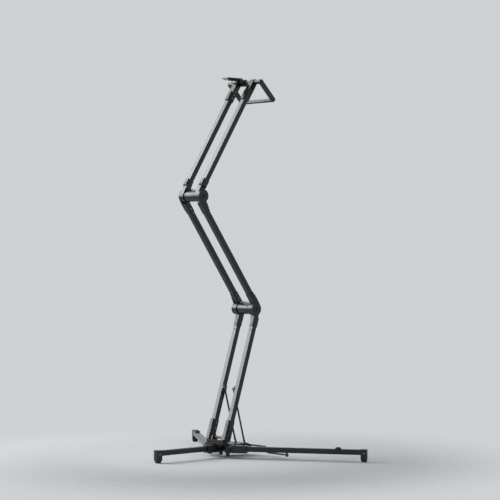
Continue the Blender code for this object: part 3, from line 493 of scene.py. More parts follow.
def fit(piece, body, finish, *nodes):
    """Gives a piece its finish and body, and the CAD nodes that it stands for."""
    material, slot = FINISHES[finish]
    piece.data.materials.clear()
    piece.data.materials.append(material)
    piece.data.shade_smooth()
    piece.data.set_sharp_from_angle(angle=math.radians(SHARP_ANGLE))
    flat = piece.modifiers.new("flat_faces", "WEIGHTED_NORMAL")
    flat.weight = 100
    flat.keep_sharp = True
    split = piece.modifiers.new("split_faces", "TRIANGULATE")
    split.min_vertices = 5
    split.keep_custom_normals = True
    settle(piece)
    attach(piece, body)
    if nodes:
        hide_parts(*nodes)
    return piece


# Finishes

class Reading:
    """A socket's value, used in shader maths as a number is."""

    def __init__(self, surface, socket):
        self.surface = surface
        self.socket = socket

    def maths(self, operation, *values):
        return self.surface.add("Math", {"operation": operation}, dict(enumerate(values)))

    def __add__(self, other):
        return self.maths("ADD", self, other)

    def __sub__(self, other):
        return self.maths("SUBTRACT", self, other)

    def __rsub__(self, other):
        return self.maths("SUBTRACT", other, self)

    def __mul__(self, other):
        return self.maths("MULTIPLY", self, other)

    __radd__ = __add__
    __rmul__ = __mul__


class Surface:
    """A material and its Principled shader."""

    def __init__(self, name, **settings):
        self.material = bpy.data.materials.new(name)
        self.material.use_nodes = True
        self.tree = self.material.node_tree
        self.shader = self.tree.nodes["Principled BSDF"]
        for socket, value in settings.items():
            self.wire(self.shader.inputs[socket.replace("_", " ")], value)

    def wire(self, socket, value):
        if isinstance(value, Reading):
            self.tree.links.new(value.socket, socket)
        elif socket.type == "RGBA":
            socket.default_value = (*value, 1.0)
        else:
            socket.default_value = value

    def add(self, kind, settings, sockets, out=0):
        """A node: its type, its settings, then the values or links of its sockets."""
        node = self.tree.nodes.new("ShaderNode" + kind)
        for setting, value in settings.items():
            if setting == "stops":
                ramp = node.color_ramp.elements
                node.color_ramp.interpolation = "EASE"
                for element, (place, tone) in zip((ramp[0], ramp[1]), value):
                    element.position = place
                    element.color = (tone, tone, tone, 1.0)
            else:
                setattr(node, setting, value)
        for socket, value in sockets.items():
            self.wire(node.inputs[socket], value)
        return Reading(self, node.outputs[out])

    def spot(self):
        """Where a point lies on the piece, along the piece's own axes."""
        return self.add("TexCoord", {}, {}, "Object")

    def noise(self, scale, detail=3.0, stretch=(1.0, 1.0, 1.0)):
        spot = self.add("VectorMath", {"operation": "MULTIPLY"}, {0: self.spot(), 1: stretch})
        return self.add("TexNoise", {}, {"Vector": spot, "Scale": scale, "Detail": detail})

    def band(self, value, low, high):
        """0 below low and 1 above high."""
        return self.add("ValToRGB", {"stops": ((low, 0.0), (high, 1.0))}, {"Fac": value})

    def tint(self, amount, first, second):
        return self.add("Mix", {"data_type": "RGBA"}, {"Factor": amount, 6: first, 7: second}, 2)

    def colour(self, value):
        self.wire(self.shader.inputs["Base Color"], value)

    def roughness(self, value):
        self.wire(self.shader.inputs["Roughness"], value)

    def relief(self, height, distance):
        bump = self.add("Bump", {}, {"Height": height, "Distance": distance, "Strength": 1.0})
        self.wire(self.shader.inputs["Normal"], bump)


def anodised_tube(name, stretch):
    """Satin black anodised extrusion with die lines along it and faint handling marks."""
    surface = Surface(name, Metallic=0.50, IOR=1.50)
    lines = surface.noise(900.0, 2.0, stretch)
    cloud = surface.noise(22.0)
    marks = surface.band(surface.noise(70.0, 4.0), 0.60, 0.78)
    surface.colour(surface.tint(cloud * 0.6 + lines * 0.4, (0.022, 0.023, 0.025), (0.034, 0.035, 0.037)))
    surface.roughness(lines * 0.05 + cloud * 0.04 + marks * 0.05 + 0.19)
    surface.relief(lines, 0.000008)
    return surface.material


def anodised_fitting():
    """Machined and bead-blasted aluminium, anodised black."""
    surface = Surface("black_anodised_fitting", Metallic=0.50, IOR=1.50)
    grain = surface.noise(2600.0, 2.0)
    cloud = surface.noise(45.0)
    surface.colour(surface.tint(cloud, (0.021, 0.022, 0.024), (0.033, 0.034, 0.036)))
    surface.roughness(grain * 0.06 + cloud * 0.06 + 0.22)
    surface.relief(grain, 0.000008)
    return surface.material


def turned_steel(name, dark, pale, rough):
    """Steel with the fine rings that turning leaves."""
    surface = Surface(name, Metallic=1.0)
    rings = surface.noise(1800.0, 2.0, (1.0, 0.05, 0.05))
    cloud = surface.noise(120.0)
    surface.colour(surface.tint(cloud, dark, pale))
    surface.roughness(rings * 0.10 + cloud * 0.08 + rough)
    surface.relief(rings, 0.00002)
    return surface.material


def powder_coat():
    """Semi-matt black powder coat with its slight orange peel."""
    surface = Surface("black_powder_coat", Metallic=0.0, IOR=1.50)
    peel = surface.noise(650.0, 2.0)
    cloud = surface.noise(30.0)
    surface.colour(surface.tint(cloud, (0.014, 0.014, 0.015), (0.026, 0.027, 0.028)))
    surface.roughness(peel * 0.10 + cloud * 0.08 + 0.36)
    surface.relief(peel, 0.00012)
    return surface.material


def rubber(name, rough, grain_scale):
    """Black rubber or moulded plastic, with its grain and a little dust."""
    surface = Surface(name, Metallic=0.0, IOR=1.45)
    grain = surface.noise(grain_scale, 4.0)
    dust = surface.band(surface.noise(90.0, 5.0), 0.52, 0.80)
    surface.colour(surface.tint(dust, (0.014, 0.014, 0.015), (0.042, 0.041, 0.040)))
    surface.roughness(grain * 0.16 + dust * 0.10 + rough)
    surface.relief(grain, 0.00010)
    return surface.material


def studio_floor():
    """Pale floor that thins out to the plain background, far from the stand."""
    surface = Surface("studio_floor", Roughness=0.85, Base_Color=BACKGROUND)
    away = surface.add("VectorMath", {"operation": "LENGTH"}, {0: surface.spot()}, "Value")
    surface.wire(surface.shader.inputs["Alpha"], 1 - surface.band(away * (1 / FLOOR_RADIUS), 0.08, 0.42))
    return surface.material


FINISHES = {
    "arm tube": (anodised_tube("black_anodised_arm_tube", (1.0, 1.0, 0.006)), "tube"),
    "leg tube": (anodised_tube("black_anodised_leg_tube", (0.006, 1.0, 1.0)), "tube"),
    "fitting": (anodised_fitting(), "casting"),
    "axle": (turned_steel("blackened_steel", (0.030, 0.030, 0.032), (0.055, 0.055, 0.058), 0.22), "steel"),
    "screw": (turned_steel("zinc_plated_steel", (0.34, 0.34, 0.35), (0.46, 0.46, 0.47), 0.26), "steel"),
    "rod": (powder_coat(), "rod"),
    "foot rubber": (rubber("foot_rubber", 0.62, 900.0), "rubber"),
    "knob": (rubber("knob_plastic", 0.42, 1500.0), "knob"),
}


# Pieces used in several places

def facing(place, point, direction):
    """A place's point with +Z turned to a direction of the place."""
    turn = Vector((0, 0, 1)).rotation_difference(Vector(direction)).to_matrix().to_4x4()
    return place @ Matrix.Translation(point) @ turn


def screw(name, kind, body, place, point, direction):
    """A socket screw's head that stands on a point of a face."""
    radius, height, finish = SCREWS[kind]
    rim = min(height, radius) * 0.18
    profile = ((radius, 0.0), (radius, height - rim), (radius - rim * 0.3, height - rim * 0.3),
               (radius - rim, height))
    piece = socketed(name, profile, radius * 0.52, height * 0.58, facing(place, point, direction))
    fit(piece, body, finish)


def axle(node, body, place, centre, radius):
    """An axle with a chamfer and a hexagon socket in each end."""
    low, high = measure(node, place)
    profile = both_ends(((radius - AXLE_LIP, 0.0), (radius, AXLE_LIP)), low.x, high.x)
    piece = socketed(node + "_pin", profile, radius * 0.55, AXLE_SOCKET, place, "X", centre, True)
    fit(piece, body, "axle", node)


def tube(node, body, place, axis, finish):
    """A tube along a place's X or Z, hollow from end to end."""
    low, high = measure(node, place)
    u, v, w = {"X": (1, 2, 0), "Z": (0, 1, 2)}[axis]
    outer = rounded((low[u], low[v]), (high[u], high[v]), TUBE_CORNER)
    inner = rounded((low[u] + TUBE_WALL, low[v] + TUBE_WALL), (high[u] - TUBE_WALL, high[v] - TUBE_WALL),
                    BORE_CORNER)
    fit(solid(node + "_profile", sleeve(outer, inner, low[w], high[w], axis), place), body, finish, node)


# Clamp sleeves and elbows of the mast

def sleeve_skin(side, plane, low, high):
    """A sleeve round a tube, solid until its socket is cut."""
    x0, x1 = span(side, SLEEVE_INNER, SLEEVE_OUTER)
    return prism(rounded((x0, plane - SLEEVE_HALF), (x1, plane + SLEEVE_HALF), SLEEVE_CORNER), low, high, "Z")


def socket_skin(side, plane, first, second):
    """The room that a tube takes in a sleeve."""
    x0, x1 = span(side, TUBE_INNER - GAP, TUBE_OUTER + GAP)
    half = TUBE_HALF + GAP
    outline = rounded((x0, plane - half), (x1, plane + half), TUBE_CORNER)
    return prism(outline, *sorted((first, second)), "Z")


def clamp_skin(side, plane, proud, low, high):
    """The thick lip on a sleeve's front that its screw draws together."""
    middle, face = side * TUBE_X, plane - SLEEVE_HALF
    outline = rounded((middle - CLAMP_WIDTH / 2, face - proud), (middle + CLAMP_WIDTH / 2, face + CLAMP_ROOT),
                      CLAMP_CORNER, 3)
    return prism(outline, low, high, "Z")


def clamp_cuts(side, plane, proud, low, high, notch):
    """The slit down a clamp's lip and the notch across it."""
    middle, front = side * TUBE_X, plane - SLEEVE_HALF - proud
    slit = block((middle - SLIT / 2, front - JUST_PAST, low), (middle + SLIT / 2, front + SLIT_DEPTH, high))
    across = block((middle - CLAMP_WIDTH, front - JUST_PAST, notch - NOTCH_HALF),
                   (middle + CLAMP_WIDTH, front + NOTCH_DEPTH, notch + NOTCH_HALF))
    return slit, across


def clamp_screw(name, body, place, side, plane, proud, station):
    """The screw across a clamp's slit, with its head on the outer side."""
    point = (side * (TUBE_X + CLAMP_WIDTH / 2), plane - SLEEVE_HALF - proud + CLAMP_SCREW_DEPTH, station)
    screw(name, "clamp", body, place, point, (side, 0, 0))


def cover_plate(name, body, place, side, plane, screws, rounded_end):
    """A thin plate on the inner face of a sleeve, with one round end and a row of screws."""
    low, high = min(screws), max(screws)
    round_end, square_end = (high, low - COVER_END) if rounded_end > 0 else (low, high + COVER_END)
    outline = hull(circle(COVER_HALF, (plane, round_end), MEDIUM),
                   rectangle((plane - COVER_HALF, round_end), (plane + COVER_HALF, square_end)))
    face = SLEEVE_INNER - COVER_THICKNESS
    piece = solid(name, prism(outline, *span(side, face, SLEEVE_INNER + COVER_BITE), "X"), place)
    fit(ease(piece, 0.0004), body, "fitting")
    for number, station in enumerate(screws):
        screw(f"{name}_screw_{number}", "cover", body, place, (side * face, plane, station), (-side, 0, 0))


def lug_outline(axis, plane, neck):
    """A round lug run out into its neck, and clear beyond the axis for the arm that folds there."""
    side = math.copysign(1.0, plane - axis[0])
    ring = circle(LUG_RADIUS, axis)
    near = [point for point in ring if side * (point[0] - axis[0]) > -FOLD_CLEARANCE]
    far = [point for point in ring if point not in near]
    return sorted(far + hull(near, neck), key=lambda p: math.atan2(p[1] - axis[1], p[0] - axis[0]))


def inner_fitting(node, body, place, side, plane, axis, low, high, towards, proud, notch):
    """A split clamp sleeve with the inner lug of an elbow, which lies towards +Z or -Z of it."""
    x0, x1 = span(side, SLEEVE_INNER + LUG_STEP, OUTER_LUG_INNER - RUNNING_GAP)
    root, mouth = (high, low) if towards > 0 else (low, high)
    half = SLEEVE_HALF - LUG_STEP
    neck = rectangle((plane - half, root - INNER_NECK), (plane + half, root + INNER_NECK))
    clamp_low = low if towards > 0 else low + SOCKET_WEB
    piece = solid(node + "_clamp", prism(lug_outline(axis, plane, neck), x0, x1, "X"), place)
    join(piece, sleeve_skin(side, plane, low, high), clamp_skin(side, plane, proud, clamp_low, high))
    cut(piece, socket_skin(side, plane, root - towards * SOCKET_WEB, mouth - towards * 2 * PAST),
        bore(AXLE_RADIUS, axis), *clamp_cuts(side, plane, proud, low - PAST, high + PAST, notch))
    fit(ease(piece, 0.0005), body, "fitting", node)


def outer_fitting(node, body, place, side, plane, axis, low, high, towards):
    """A sleeve with the outer lug of an elbow, coped to clear the inner lug."""
    x0, x1 = span(side, OUTER_LUG_INNER, OUTER_LUG_FACE)
    root, mouth = (high, low) if towards > 0 else (low, high)
    half = SLEEVE_HALF - LUG_STEP
    neck = rectangle((plane - half, root), (plane + half, root - towards * OUTER_NECK))
    cope = LUG_RADIUS + COPE
    piece = solid(node + "_arm", prism(lug_outline(axis, plane, neck), x0, x1, "X"), place)
    coped = solid(node + "_cope", sleeve_skin(side, plane, low, high), place)
    cut(coped, bar(cope, *span(side, 0.0, OUTER_LUG_INNER + GAP), "X", axis))
    join(piece, coped)
    cut(piece, socket_skin(side, plane, axis[1] - towards * (cope + SOCKET_WEB), mouth - towards * 2 * PAST),
        bore(AXLE_RADIUS, axis))
    fit(ease(piece, 0.0007), body, "fitting", node)


def elbow_barrel(node, body, place, axis):
    """The bored barrel between the inner lugs, with the flat stop along its top."""
    low, high = measure(node, place)
    floor, seat = BARREL_RADIUS - GROOVE_DEPTH, axis[1] + BARREL_RADIUS * 0.7
    end = ((AXLE_RADIUS + GAP, 0.0), (BARREL_RADIUS - BARREL_LIP, 0.0), (BARREL_RADIUS, BARREL_LIP),
           (BARREL_RADIUS, GROOVE_NEAR), (floor, GROOVE_NEAR + GROOVE_SLOPE),
           (floor, GROOVE_FAR - GROOVE_SLOPE), (BARREL_RADIUS, GROOVE_FAR))
    piece = solid(node + "_body", turned(both_ends(end, low.x, high.x), "X", axis, ring=True), place)
    stop = rounded((axis[0] - STOP_HALF, seat), (axis[0] + STOP_HALF, high.z), 0.0010, 3)
    join(piece, prism(stop, low.x + STOP_INSET, high.x - STOP_INSET, "X"))
    fit(piece, body, "fitting", node)


# Lower arm

def lower_foot(name, side):
    """The thick clamp at a lower tube's foot, bored for the foot axle."""
    node = f"lower_foot_{name}"
    low, high = measure(node, LOWER)
    tube_low = measure(f"lower_tube_{name}", LOWER)[0].z
    notch = 0.0345
    piece = solid(node + "_clamp", sleeve_skin(side, 0.0, low.z, high.z), LOWER)
    join(piece, clamp_skin(side, 0.0, FOOT_CLAMP_PROUD, low.z + 0.001, high.z))
    cut(piece, socket_skin(side, 0.0, tube_low - GAP, high.z + 2 * PAST), bore(FOOT_AXLE_RADIUS),
        *clamp_cuts(side, 0.0, FOOT_CLAMP_PROUD, notch, high.z + PAST, notch))
    fit(ease(piece, 0.0006), "lower_arm", "fitting", node)
    clamp_screw(f"lower_foot_screw_{name}", "lower_arm", LOWER, side, 0.0, FOOT_CLAMP_PROUD, high.z - 0.0085)
    cover_plate(f"lower_foot_cover_{name}", "lower_arm", LOWER, side, 0.0, (0.0346, 0.0580), 1)


def stay_lug(name, side):
    """The plate on a lower tube's inner face, with the peg that its stay swings on."""
    node = f"stay_lug_{name}"
    low, high = measure(node, LOWER)
    radius, face, peg_end, foot_half, foot_reach = 0.0065, 0.0298, 0.0229, 0.0075, 0.0120
    station = (low.z + high.z) / 2
    centre = (low.y + radius, station)
    foot = rectangle((-foot_half, station - foot_reach), (foot_half, station + foot_reach))
    plate = prism(hull(circle(radius, centre, MEDIUM), foot), *span(side, face, TUBE_INNER - GAP), "X")
    piece = solid(node + "_plate", plate, LOWER)
    join(piece, bar(STAY_PIN_RADIUS, *span(side, peg_end, TUBE_INNER - GAP), "X", centre, SMALL))
    fit(ease(piece, 0.0006), "lower_arm", "fitting", node)
    for end, rise in (("high", 0.0082), ("low", -0.0082)):
        screw(f"{node}_screw_{end}", "stay lug", "lower_arm", LOWER, (side * face, 0.0038, station + rise),
              (-side, 0, 0))


def tube_button(name, side):
    """The low round button in a lower tube's front face."""
    spot = facing(LOWER, (side * TUBE_X, -TUBE_HALF, LOWER_LENGTH - 0.0825), (0, -1, 0))
    profile = ((0.0027, -0.0004), (0.0027, 0.0003), (0.0022, 0.0008), (0.0012, 0.0011), (0.0002, 0.0012))
    fit(solid(f"tube_button_{name}", turned(profile, sides=SMALL), spot), "lower_arm", "rod")


def dress_lower_arm():
    body, sleeve_length, notch = "lower_arm", 0.0390, 0.0042
    axis = (-ELBOW_OFFSET, LOWER_LENGTH)
    for name, side in SIDES:
        tube(f"lower_tube_{name}", body, LOWER, "Z", "arm tube")
        lower_foot(name, side)
        node = f"lower_head_{name}"
        low = measure(node, LOWER)[0].z
        inner_fitting(node, body, LOWER, side, 0.0, axis, low, low + sleeve_length, 1, ELBOW_CLAMP_PROUD,
                      low + notch)
        stay_lug(name, side)
        tube_button(name, side)
    elbow_barrel("elbow_1_barrel", body, LOWER, axis)


# Middle arm

def dress_middle_arm():
    body, plane = "middle_arm", ELBOW_OFFSET
    first, second = (0.0, 0.0), (2 * ELBOW_OFFSET, MIDDLE_LENGTH)
    start, end = 0.0180, 0.0657
    for name, side in SIDES:
        tube(f"middle_tube_{name}", body, MIDDLE, "Z", "arm tube")
        outer_fitting(f"elbow_1_lug_{name}", body, MIDDLE, side, plane, first, start, end, -1)
        outer_fitting(f"elbow_2_lug_{name}", body, MIDDLE, side, plane, second, MIDDLE_LENGTH - end,
                      MIDDLE_LENGTH - start, 1)
        cover_plate(f"middle_foot_cover_{name}", body, MIDDLE, side, plane, (0.0396, 0.0584), 1)
        cover_plate(f"middle_head_cover_{name}", body, MIDDLE, side, plane,
                    (MIDDLE_LENGTH - 0.0678, MIDDLE_LENGTH - 0.0486), -1)
    axle("elbow_1_axle", body, MIDDLE, first, AXLE_RADIUS)
    axle("elbow_2_axle", body, MIDDLE, second, AXLE_RADIUS)


# Upper arm

def upper_head(name, side):
    """The clamp at an upper tube's head, with its round end on the top axle."""
    node, body, plane = f"upper_head_{name}", "upper_arm", -ELBOW_OFFSET
    low = measure(node, UPPER)[0].z
    tube_high = measure(f"upper_tube_{name}", UPPER)[1].z
    top = (plane, UPPER_LENGTH)
    clamp_top = UPPER_LENGTH - 0.0450
    square_end = rectangle((plane - SLEEVE_HALF, low), (plane + SLEEVE_HALF, low + 0.01))
    outline = hull(circle(SLEEVE_HALF, top), square_end)
    piece = solid(node + "_clamp", prism(outline, *span(side, SLEEVE_INNER, SLEEVE_OUTER), "X"), UPPER)
    join(piece, clamp_skin(side, plane, CLAMP_PROUD, low, clamp_top))
    cut(piece, socket_skin(side, plane, low - 2 * PAST, tube_high + GAP), bore(TOP_AXLE_RADIUS, top),
        *clamp_cuts(side, plane, CLAMP_PROUD, low - PAST, clamp_top, clamp_top + 0.0020))
    fit(ease(piece, 0.0006), body, "fitting", node)
    clamp_screw(f"upper_head_screw_{name}", body, UPPER, side, plane, CLAMP_PROUD, low + 0.0070)
    stations = [UPPER_LENGTH - back for back in (0.0724, 0.0550, 0.0376)]
    cover_plate(f"upper_head_cover_{name}", body, UPPER, side, plane, stations, -1)


def dress_upper_arm():
    body, foot = "upper_arm", (0.0, 0.0)
    start, end, notch = 0.0320, 0.0630, 0.0360
    for name, side in SIDES:
        tube(f"upper_tube_{name}", body, UPPER, "Z", "arm tube")
        inner_fitting(f"upper_foot_{name}", body, UPPER, side, -ELBOW_OFFSET, foot, start, end, -1,
                      CLAMP_PROUD, notch)
        upper_head(name, side)
    elbow_barrel("elbow_2_barrel", body, UPPER, foot)
    axle("top_axle", body, UPPER, (-ELBOW_OFFSET, UPPER_LENGTH), TOP_AXLE_RADIUS)


# Legs

def leg_socket(name, place):
    """The outline of the room that a leg's tube takes in its castings."""
    low, high = measure(f"{name}_leg_tube", place)
    return rounded((-high.y - GAP, low.z - GAP), (high.y + GAP, high.z + GAP), TUBE_CORNER)


def leg_knuckle(name, body, place):
    """The forked casting that holds a leg's tube and sits round the hub's plate."""
    node = f"{name}_knuckle"
    low, high = measure(node, place)
    tube_low, tube_high = measure(f"{name}_leg_tube", place)
    outline = hull(circle(TONGUE), rectangle((KNUCKLE_ROOT, -TONGUE), (KNUCKLE_ROOT + 0.002, TONGUE)))
    cheeks = prism(outline, HUB_PLATE_LOW - KNUCKLE_CHEEK, HUB_PLATE_HIGH + KNUCKLE_CHEEK, "Z")
    piece = solid(node + "_fork", cheeks, place)
    half = tube_high.y + tube_low.z - low.z
    join(piece, prism(rounded((-half, low.z), (half, high.z), KNUCKLE_CORNER), KNUCKLE_ROOT, high.x, "X"))
    cut(piece, prism(leg_socket(name, place), tube_low.x - GAP, high.x + PAST, "X"),
        block((-THROUGH, -THROUGH, HUB_PLATE_LOW - GAP), (KNUCKLE_ROOT, THROUGH, HUB_PLATE_HIGH + GAP)),
        bore(BOLT_RADIUS, axis="Z"))
    fit(ease(piece, 0.0007), body, "fitting", node)
    for number, side in enumerate((-1, 1)):
        screw(f"{name}_knuckle_screw_{number}", "knuckle", body, place,
              (high.x - 0.0120, side * high.y, (low.z + high.z) / 2), (0, side, 0))


def end_post(name, body, place):
    """The casting that closes a leg's end, with a screw sunk in either side, over its foot pad."""
    node = f"{name}_end_post"
    low, high = measure(node, place)
    tube_end = measure(f"{name}_leg_tube", place)[1].x
    reach, half = (low.x + high.x) / 2, (high.x - low.x) / 2
    seat, level = half - 0.0010, high.z - 0.0150
    casting = prism(rounded((low.x, -half), (high.x, half), POST_CORNER), low.z, high.z, "Z")
    piece = solid(node + "_body", casting, place)
    cut(piece, prism(leg_socket(name, place), low.x - JUST_PAST, tube_end + GAP, "X"),
        bar(PAD_SPIGOT + GAP, 0.0, low.z + 0.008, "Z", (reach, 0.0), SMALL))
    ease(piece, 0.0012, 3)
    cut(piece, *[bar(POST_RECESS, *span(side, seat, half + PAST), "Y", (reach, level), SMALL)
                 for side in (-1, 1)])
    fit(piece, body, "fitting", node)
    for end, side in (("front", -1), ("rear", 1)):
        screw(f"{name}_post_screw_{end}", "post", body, place, (reach, side * seat, level), (0, side, 0))


def foot_pad(name, body, place):
    """A round rubber foot with a rounded sole, on a spigot."""
    node = f"{name}_foot_pad"
    low, high = measure(node, place)
    pad, rise, sole = high.y, 0.0087, 0.0058
    profile = [(pad * 0.26, 0.0010), (pad * 0.32, 0.0)]
    profile += arc((pad - sole, sole), sole, -90, 0, 7)
    profile += [(pad, rise - 0.0010), (pad - 0.0006, rise), (PAD_SPIGOT, rise), (PAD_SPIGOT, high.z)]
    skin = turned(profile, centre=((low.x + high.x) / 2, 0.0), sides=MEDIUM)
    fit(solid(node + "_rubber", skin, place), body, "foot rubber", node)


def leg_bumper(name, body, place):
    """The low rubber dome on top of a side leg."""
    node = f"{name}_bumper"
    low, high = measure(node, place)
    radius, height, rim = (high.y - low.y) / 2, high.z - low.z, 0.30
    profile = [(radius, low.z), (radius, low.z + height * rim)]
    for angle in range(15, 90, 15):
        lift = math.radians(angle)
        profile.append((radius * math.cos(lift), low.z + height * (rim + (1 - rim) * math.sin(lift))))
    profile.append((radius * 0.04, high.z))
    skin = turned(profile, centre=((low.x + high.x) / 2, 0.0), sides=MEDIUM)
    fit(solid(node + "_dome", skin, place), body, "foot rubber", node)


# Hub

def pin_centre(node):
    low, high = measure(node, BASE)
    return (low.x + high.x) / 2, (low.y + high.y) / 2


def hub_pin(node, profile, key, deep):
    """An upright pin in the hub, with a hexagon socket in its head."""
    place = BASE @ Matrix.Translation((*pin_centre(node), 0.0))
    fit(socketed(node + "_steel", profile, key, deep, place), "base", "axle", node)


def pivot_bolt(name):
    """A leg's pivot bolt with its head above and its nut below."""
    node = f"{name}_pivot_bolt"
    low, high = measure(node, BASE)
    nut, nut_top, head_low, rim = (high.x - low.x) / 2, 0.0210, 0.0470, 0.0008
    hub_pin(node, ((nut - rim, low.z), (nut, low.z + rim), (nut, nut_top), (BOLT_RADIUS, nut_top),
                   (BOLT_RADIUS, head_low), (BOLT_HEAD, head_low), (BOLT_HEAD, high.z - rim),
                   (BOLT_HEAD - rim, high.z)), BOLT_HEAD * 0.55, 0.0030)


def brace_pin(name):
    """The headed pin that a brace swings on."""
    node = f"{name}_brace_pin"
    low, high = measure(node, BASE)
    head, head_low, rim = (high.x - low.x) / 2, high.z - 0.0023, 0.0006
    hub_pin(node, ((BRACE_PIN_RADIUS, low.z), (BRACE_PIN_RADIUS, head_low), (head, head_low),
                   (head, high.z - rim), (head - rim, high.z)), 0.0021, 0.0014)


def dress_hub():
    """The hub plate with a lobe for each leg, and its tail with a slot for each stay."""
    low, high = measure("hub_casting", BASE)
    pivots = [pin_centre(f"{name}_pivot_bolt") for name in ("left", "right", "front")]
    left, right, front = pivots
    web = rectangle((left[0], front[1] - LOBE_RADIUS), (right[0], right[1] + LOBE_RADIUS))
    waist = hull(rectangle((-TAIL_HALF * 0.8, right[1]), (TAIL_HALF * 0.8, right[1])),
                 rectangle((-TAIL_HALF, TAIL_FRONT), (TAIL_HALF, TAIL_FRONT + 0.01)))
    tail = rounded((-TAIL_HALF, TAIL_FRONT), (TAIL_HALF, TAIL_REAR), TAIL_CORNER)
    ledge = rounded((-LEDGE_HALF, TAIL_REAR - 0.012), (LEDGE_HALF, high.y), LEDGE_CORNER)
    piece = solid("hub_casting_body", prism(web, HUB_PLATE_LOW, HUB_PLATE_HIGH, "Z"), BASE)
    join(piece, *[bar(LOBE_RADIUS, HUB_PLATE_LOW, HUB_PLATE_HIGH, "Z", pivot) for pivot in pivots],
         prism(waist, HUB_PLATE_LOW, HUB_PLATE_HIGH, "Z"), prism(tail, low.z, high.z, "Z"),
         prism(ledge, low.z, LEDGE_TOP, "Z"))
    pocket = block((-TAIL_HALF + TAIL_WALL, TAIL_FRONT + TAIL_WALL, 0.0),
                   (TAIL_HALF - TAIL_WALL, TAIL_REAR - TAIL_WALL, TAIL_POCKET))
    half = STAY_EYE_WIDTH / 2 + RUNNING_GAP
    slot_front, slot_floor = STAY_FOOT_Y - STAY_EYE - 0.0010, STAY_FOOT_Z - STAY_EYE - RUNNING_GAP
    slots = [block((x - half, slot_front, slot_floor), (x + half, high.y, high.z + PAST))
             for x in (-STAY_X, STAY_X)]
    cut(piece, pocket, *slots, *[bore(BOLT_RADIUS, pivot, "Z") for pivot in pivots])
    fit(ease(piece, 0.0009), "base", "fitting", "hub_casting")
    for name, side in SIDES:
        for number, y in enumerate((TAIL_FRONT + 0.0080, STAY_FOOT_Y - 0.0160)):
            screw(f"hub_screw_{name}_{number}", "hub", "base", BASE, (side * STAY_X, y, high.z), (0, 0, 1))
        brace_pin(name)


def dress_bracket():
    """The bracket whose two ears carry the mast's foot axle, over the front leg's knuckle."""
    low, high = measure("mast_bracket", BASE)
    foot = (MAST_FOOT_Y, MAST_FOOT_Z)
    outer = SLEEVE_INNER - RUNNING_GAP
    inner = outer - CHEEK_WIDTH
    ear = hull(circle(EAR_RADIUS, foot), rectangle((low.y + 0.001, low.z), (high.y, low.z + 0.006)))
    piece = solid("mast_bracket_body", prism(ear, -outer, outer, "X"), BASE)
    cut(piece, block((-inner, 0.0, CHANNEL_TOP + 0.006), (inner, THROUGH, THROUGH)),
        block((-CHANNEL_HALF, 0.0, 0.0), (CHANNEL_HALF, THROUGH, CHANNEL_TOP)))
    near, half, bottom = CHANNEL_HALF + LUG_STEP, BRACKET_WIDTH / 2, low.z + LUG_STEP
    right_half = [(near, CHANNEL_TOP + LUG_STEP), (near, bottom), (BRACKET_STEP, bottom),
                  (BRACKET_STEP, bottom + 0.008), (half, CHANNEL_TOP), (half, BRACKET_TOP)]
    front = right_half + [(-x, z) for x, z in reversed(right_half)]
    join(piece, prism(front, low.y, low.y + BRACKET_PLATE, "Y"))
    cut(piece, bore(FOOT_AXLE_RADIUS, foot, gap=GAP / 2))
    fit(ease(piece, 0.0008), "base", "fitting", "mast_bracket")
    for name, side in SIDES:
        screw(f"bracket_screw_{name}", "bracket", "base", BASE, (side * 0.0292, low.y, 0.0612), (0, -1, 0))


def dress_brace(name, side):
    """A flat bar that steps down from its eye on the hub to its peg below a leg."""
    node = f"{name}_brace"
    pivot = JOINTS[f"{name}_brace_swing"]
    turn = Matrix.Rotation(math.radians(90 - 90 * side), 4, "Z")
    place = Matrix.Translation((pivot.x, pivot.y, 0.0)) @ turn
    low, high = measure(node, place)
    top, bottom, far = high.z, high.z - BRACE_DROP, BRACE_STEP + BRACE_DROP * 0.9
    side_view = [(0.0, top - BRACE_THICKNESS), (BRACE_STEP, top - BRACE_THICKNESS),
                 (far, bottom - BRACE_THICKNESS), (high.x, bottom - BRACE_THICKNESS), (high.x, bottom),
                 (far + 0.002, bottom), (BRACE_STEP + 0.002, top), (0.0, top)]
    piece = solid(node + "_bar", prism(side_view, -BRACE_WIDTH / 2, BRACE_WIDTH / 2, "Y"), place)
    join(piece, bar(BRACE_EYE, top - BRACE_THICKNESS, top, "Z", sides=MEDIUM),
         bar(BRACE_PEG, low.z, LEG_UNDERSIDE - GAP, "Z", (high.x - BRACE_PEG - 0.001, 0.0), SMALL))
    cut(piece, bore(BRACE_PIN_RADIUS, axis="Z", sides=SMALL))
    fit(ease(piece, 0.0006), f"{name}_brace_bar", "rod", node)


def dress_stays():
    """The two stay rods, from their eyes on the lower arm down to the eyes in the hub's slots."""
    top = JOINTS["stay_swing"]
    foot = BASE @ Vector((0.0, STAY_FOOT_Y, STAY_FOOT_Z))
    length = (top - foot).length
    place = Matrix.Translation(top) @ Matrix.Rotation(math.atan2(foot.y - top.y, top.z - foot.z), 4, "X")
    for name, side in SIDES:
        node, x = f"{name}_stay", side * STAY_X
        rod = bar(STAY_RADIUS, 0.0030 - length, -STAY_RADIUS, "Z", (x, 0.0), MEDIUM)
        piece = solid(node + "_rod", rod, place)
        eyes = [bar(STAY_EYE, x - STAY_EYE_WIDTH / 2, x + STAY_EYE_WIDTH / 2, "X", (0.0, z), MEDIUM)
                for z in (0.0, -length)]
        nut = [(x + u, v) for u, v in hexagon(STAY_NUT)]
        join(piece, *eyes, prism(nut, -0.0140, -0.0095, "Z"),
             prism(nut, 0.0100 - length, 0.0145 - length, "Z"))
        cut(piece, bore(STAY_PIN_RADIUS, sides=SMALL))
        fit(ease(piece, 0.0004), "stays", "rod", node)


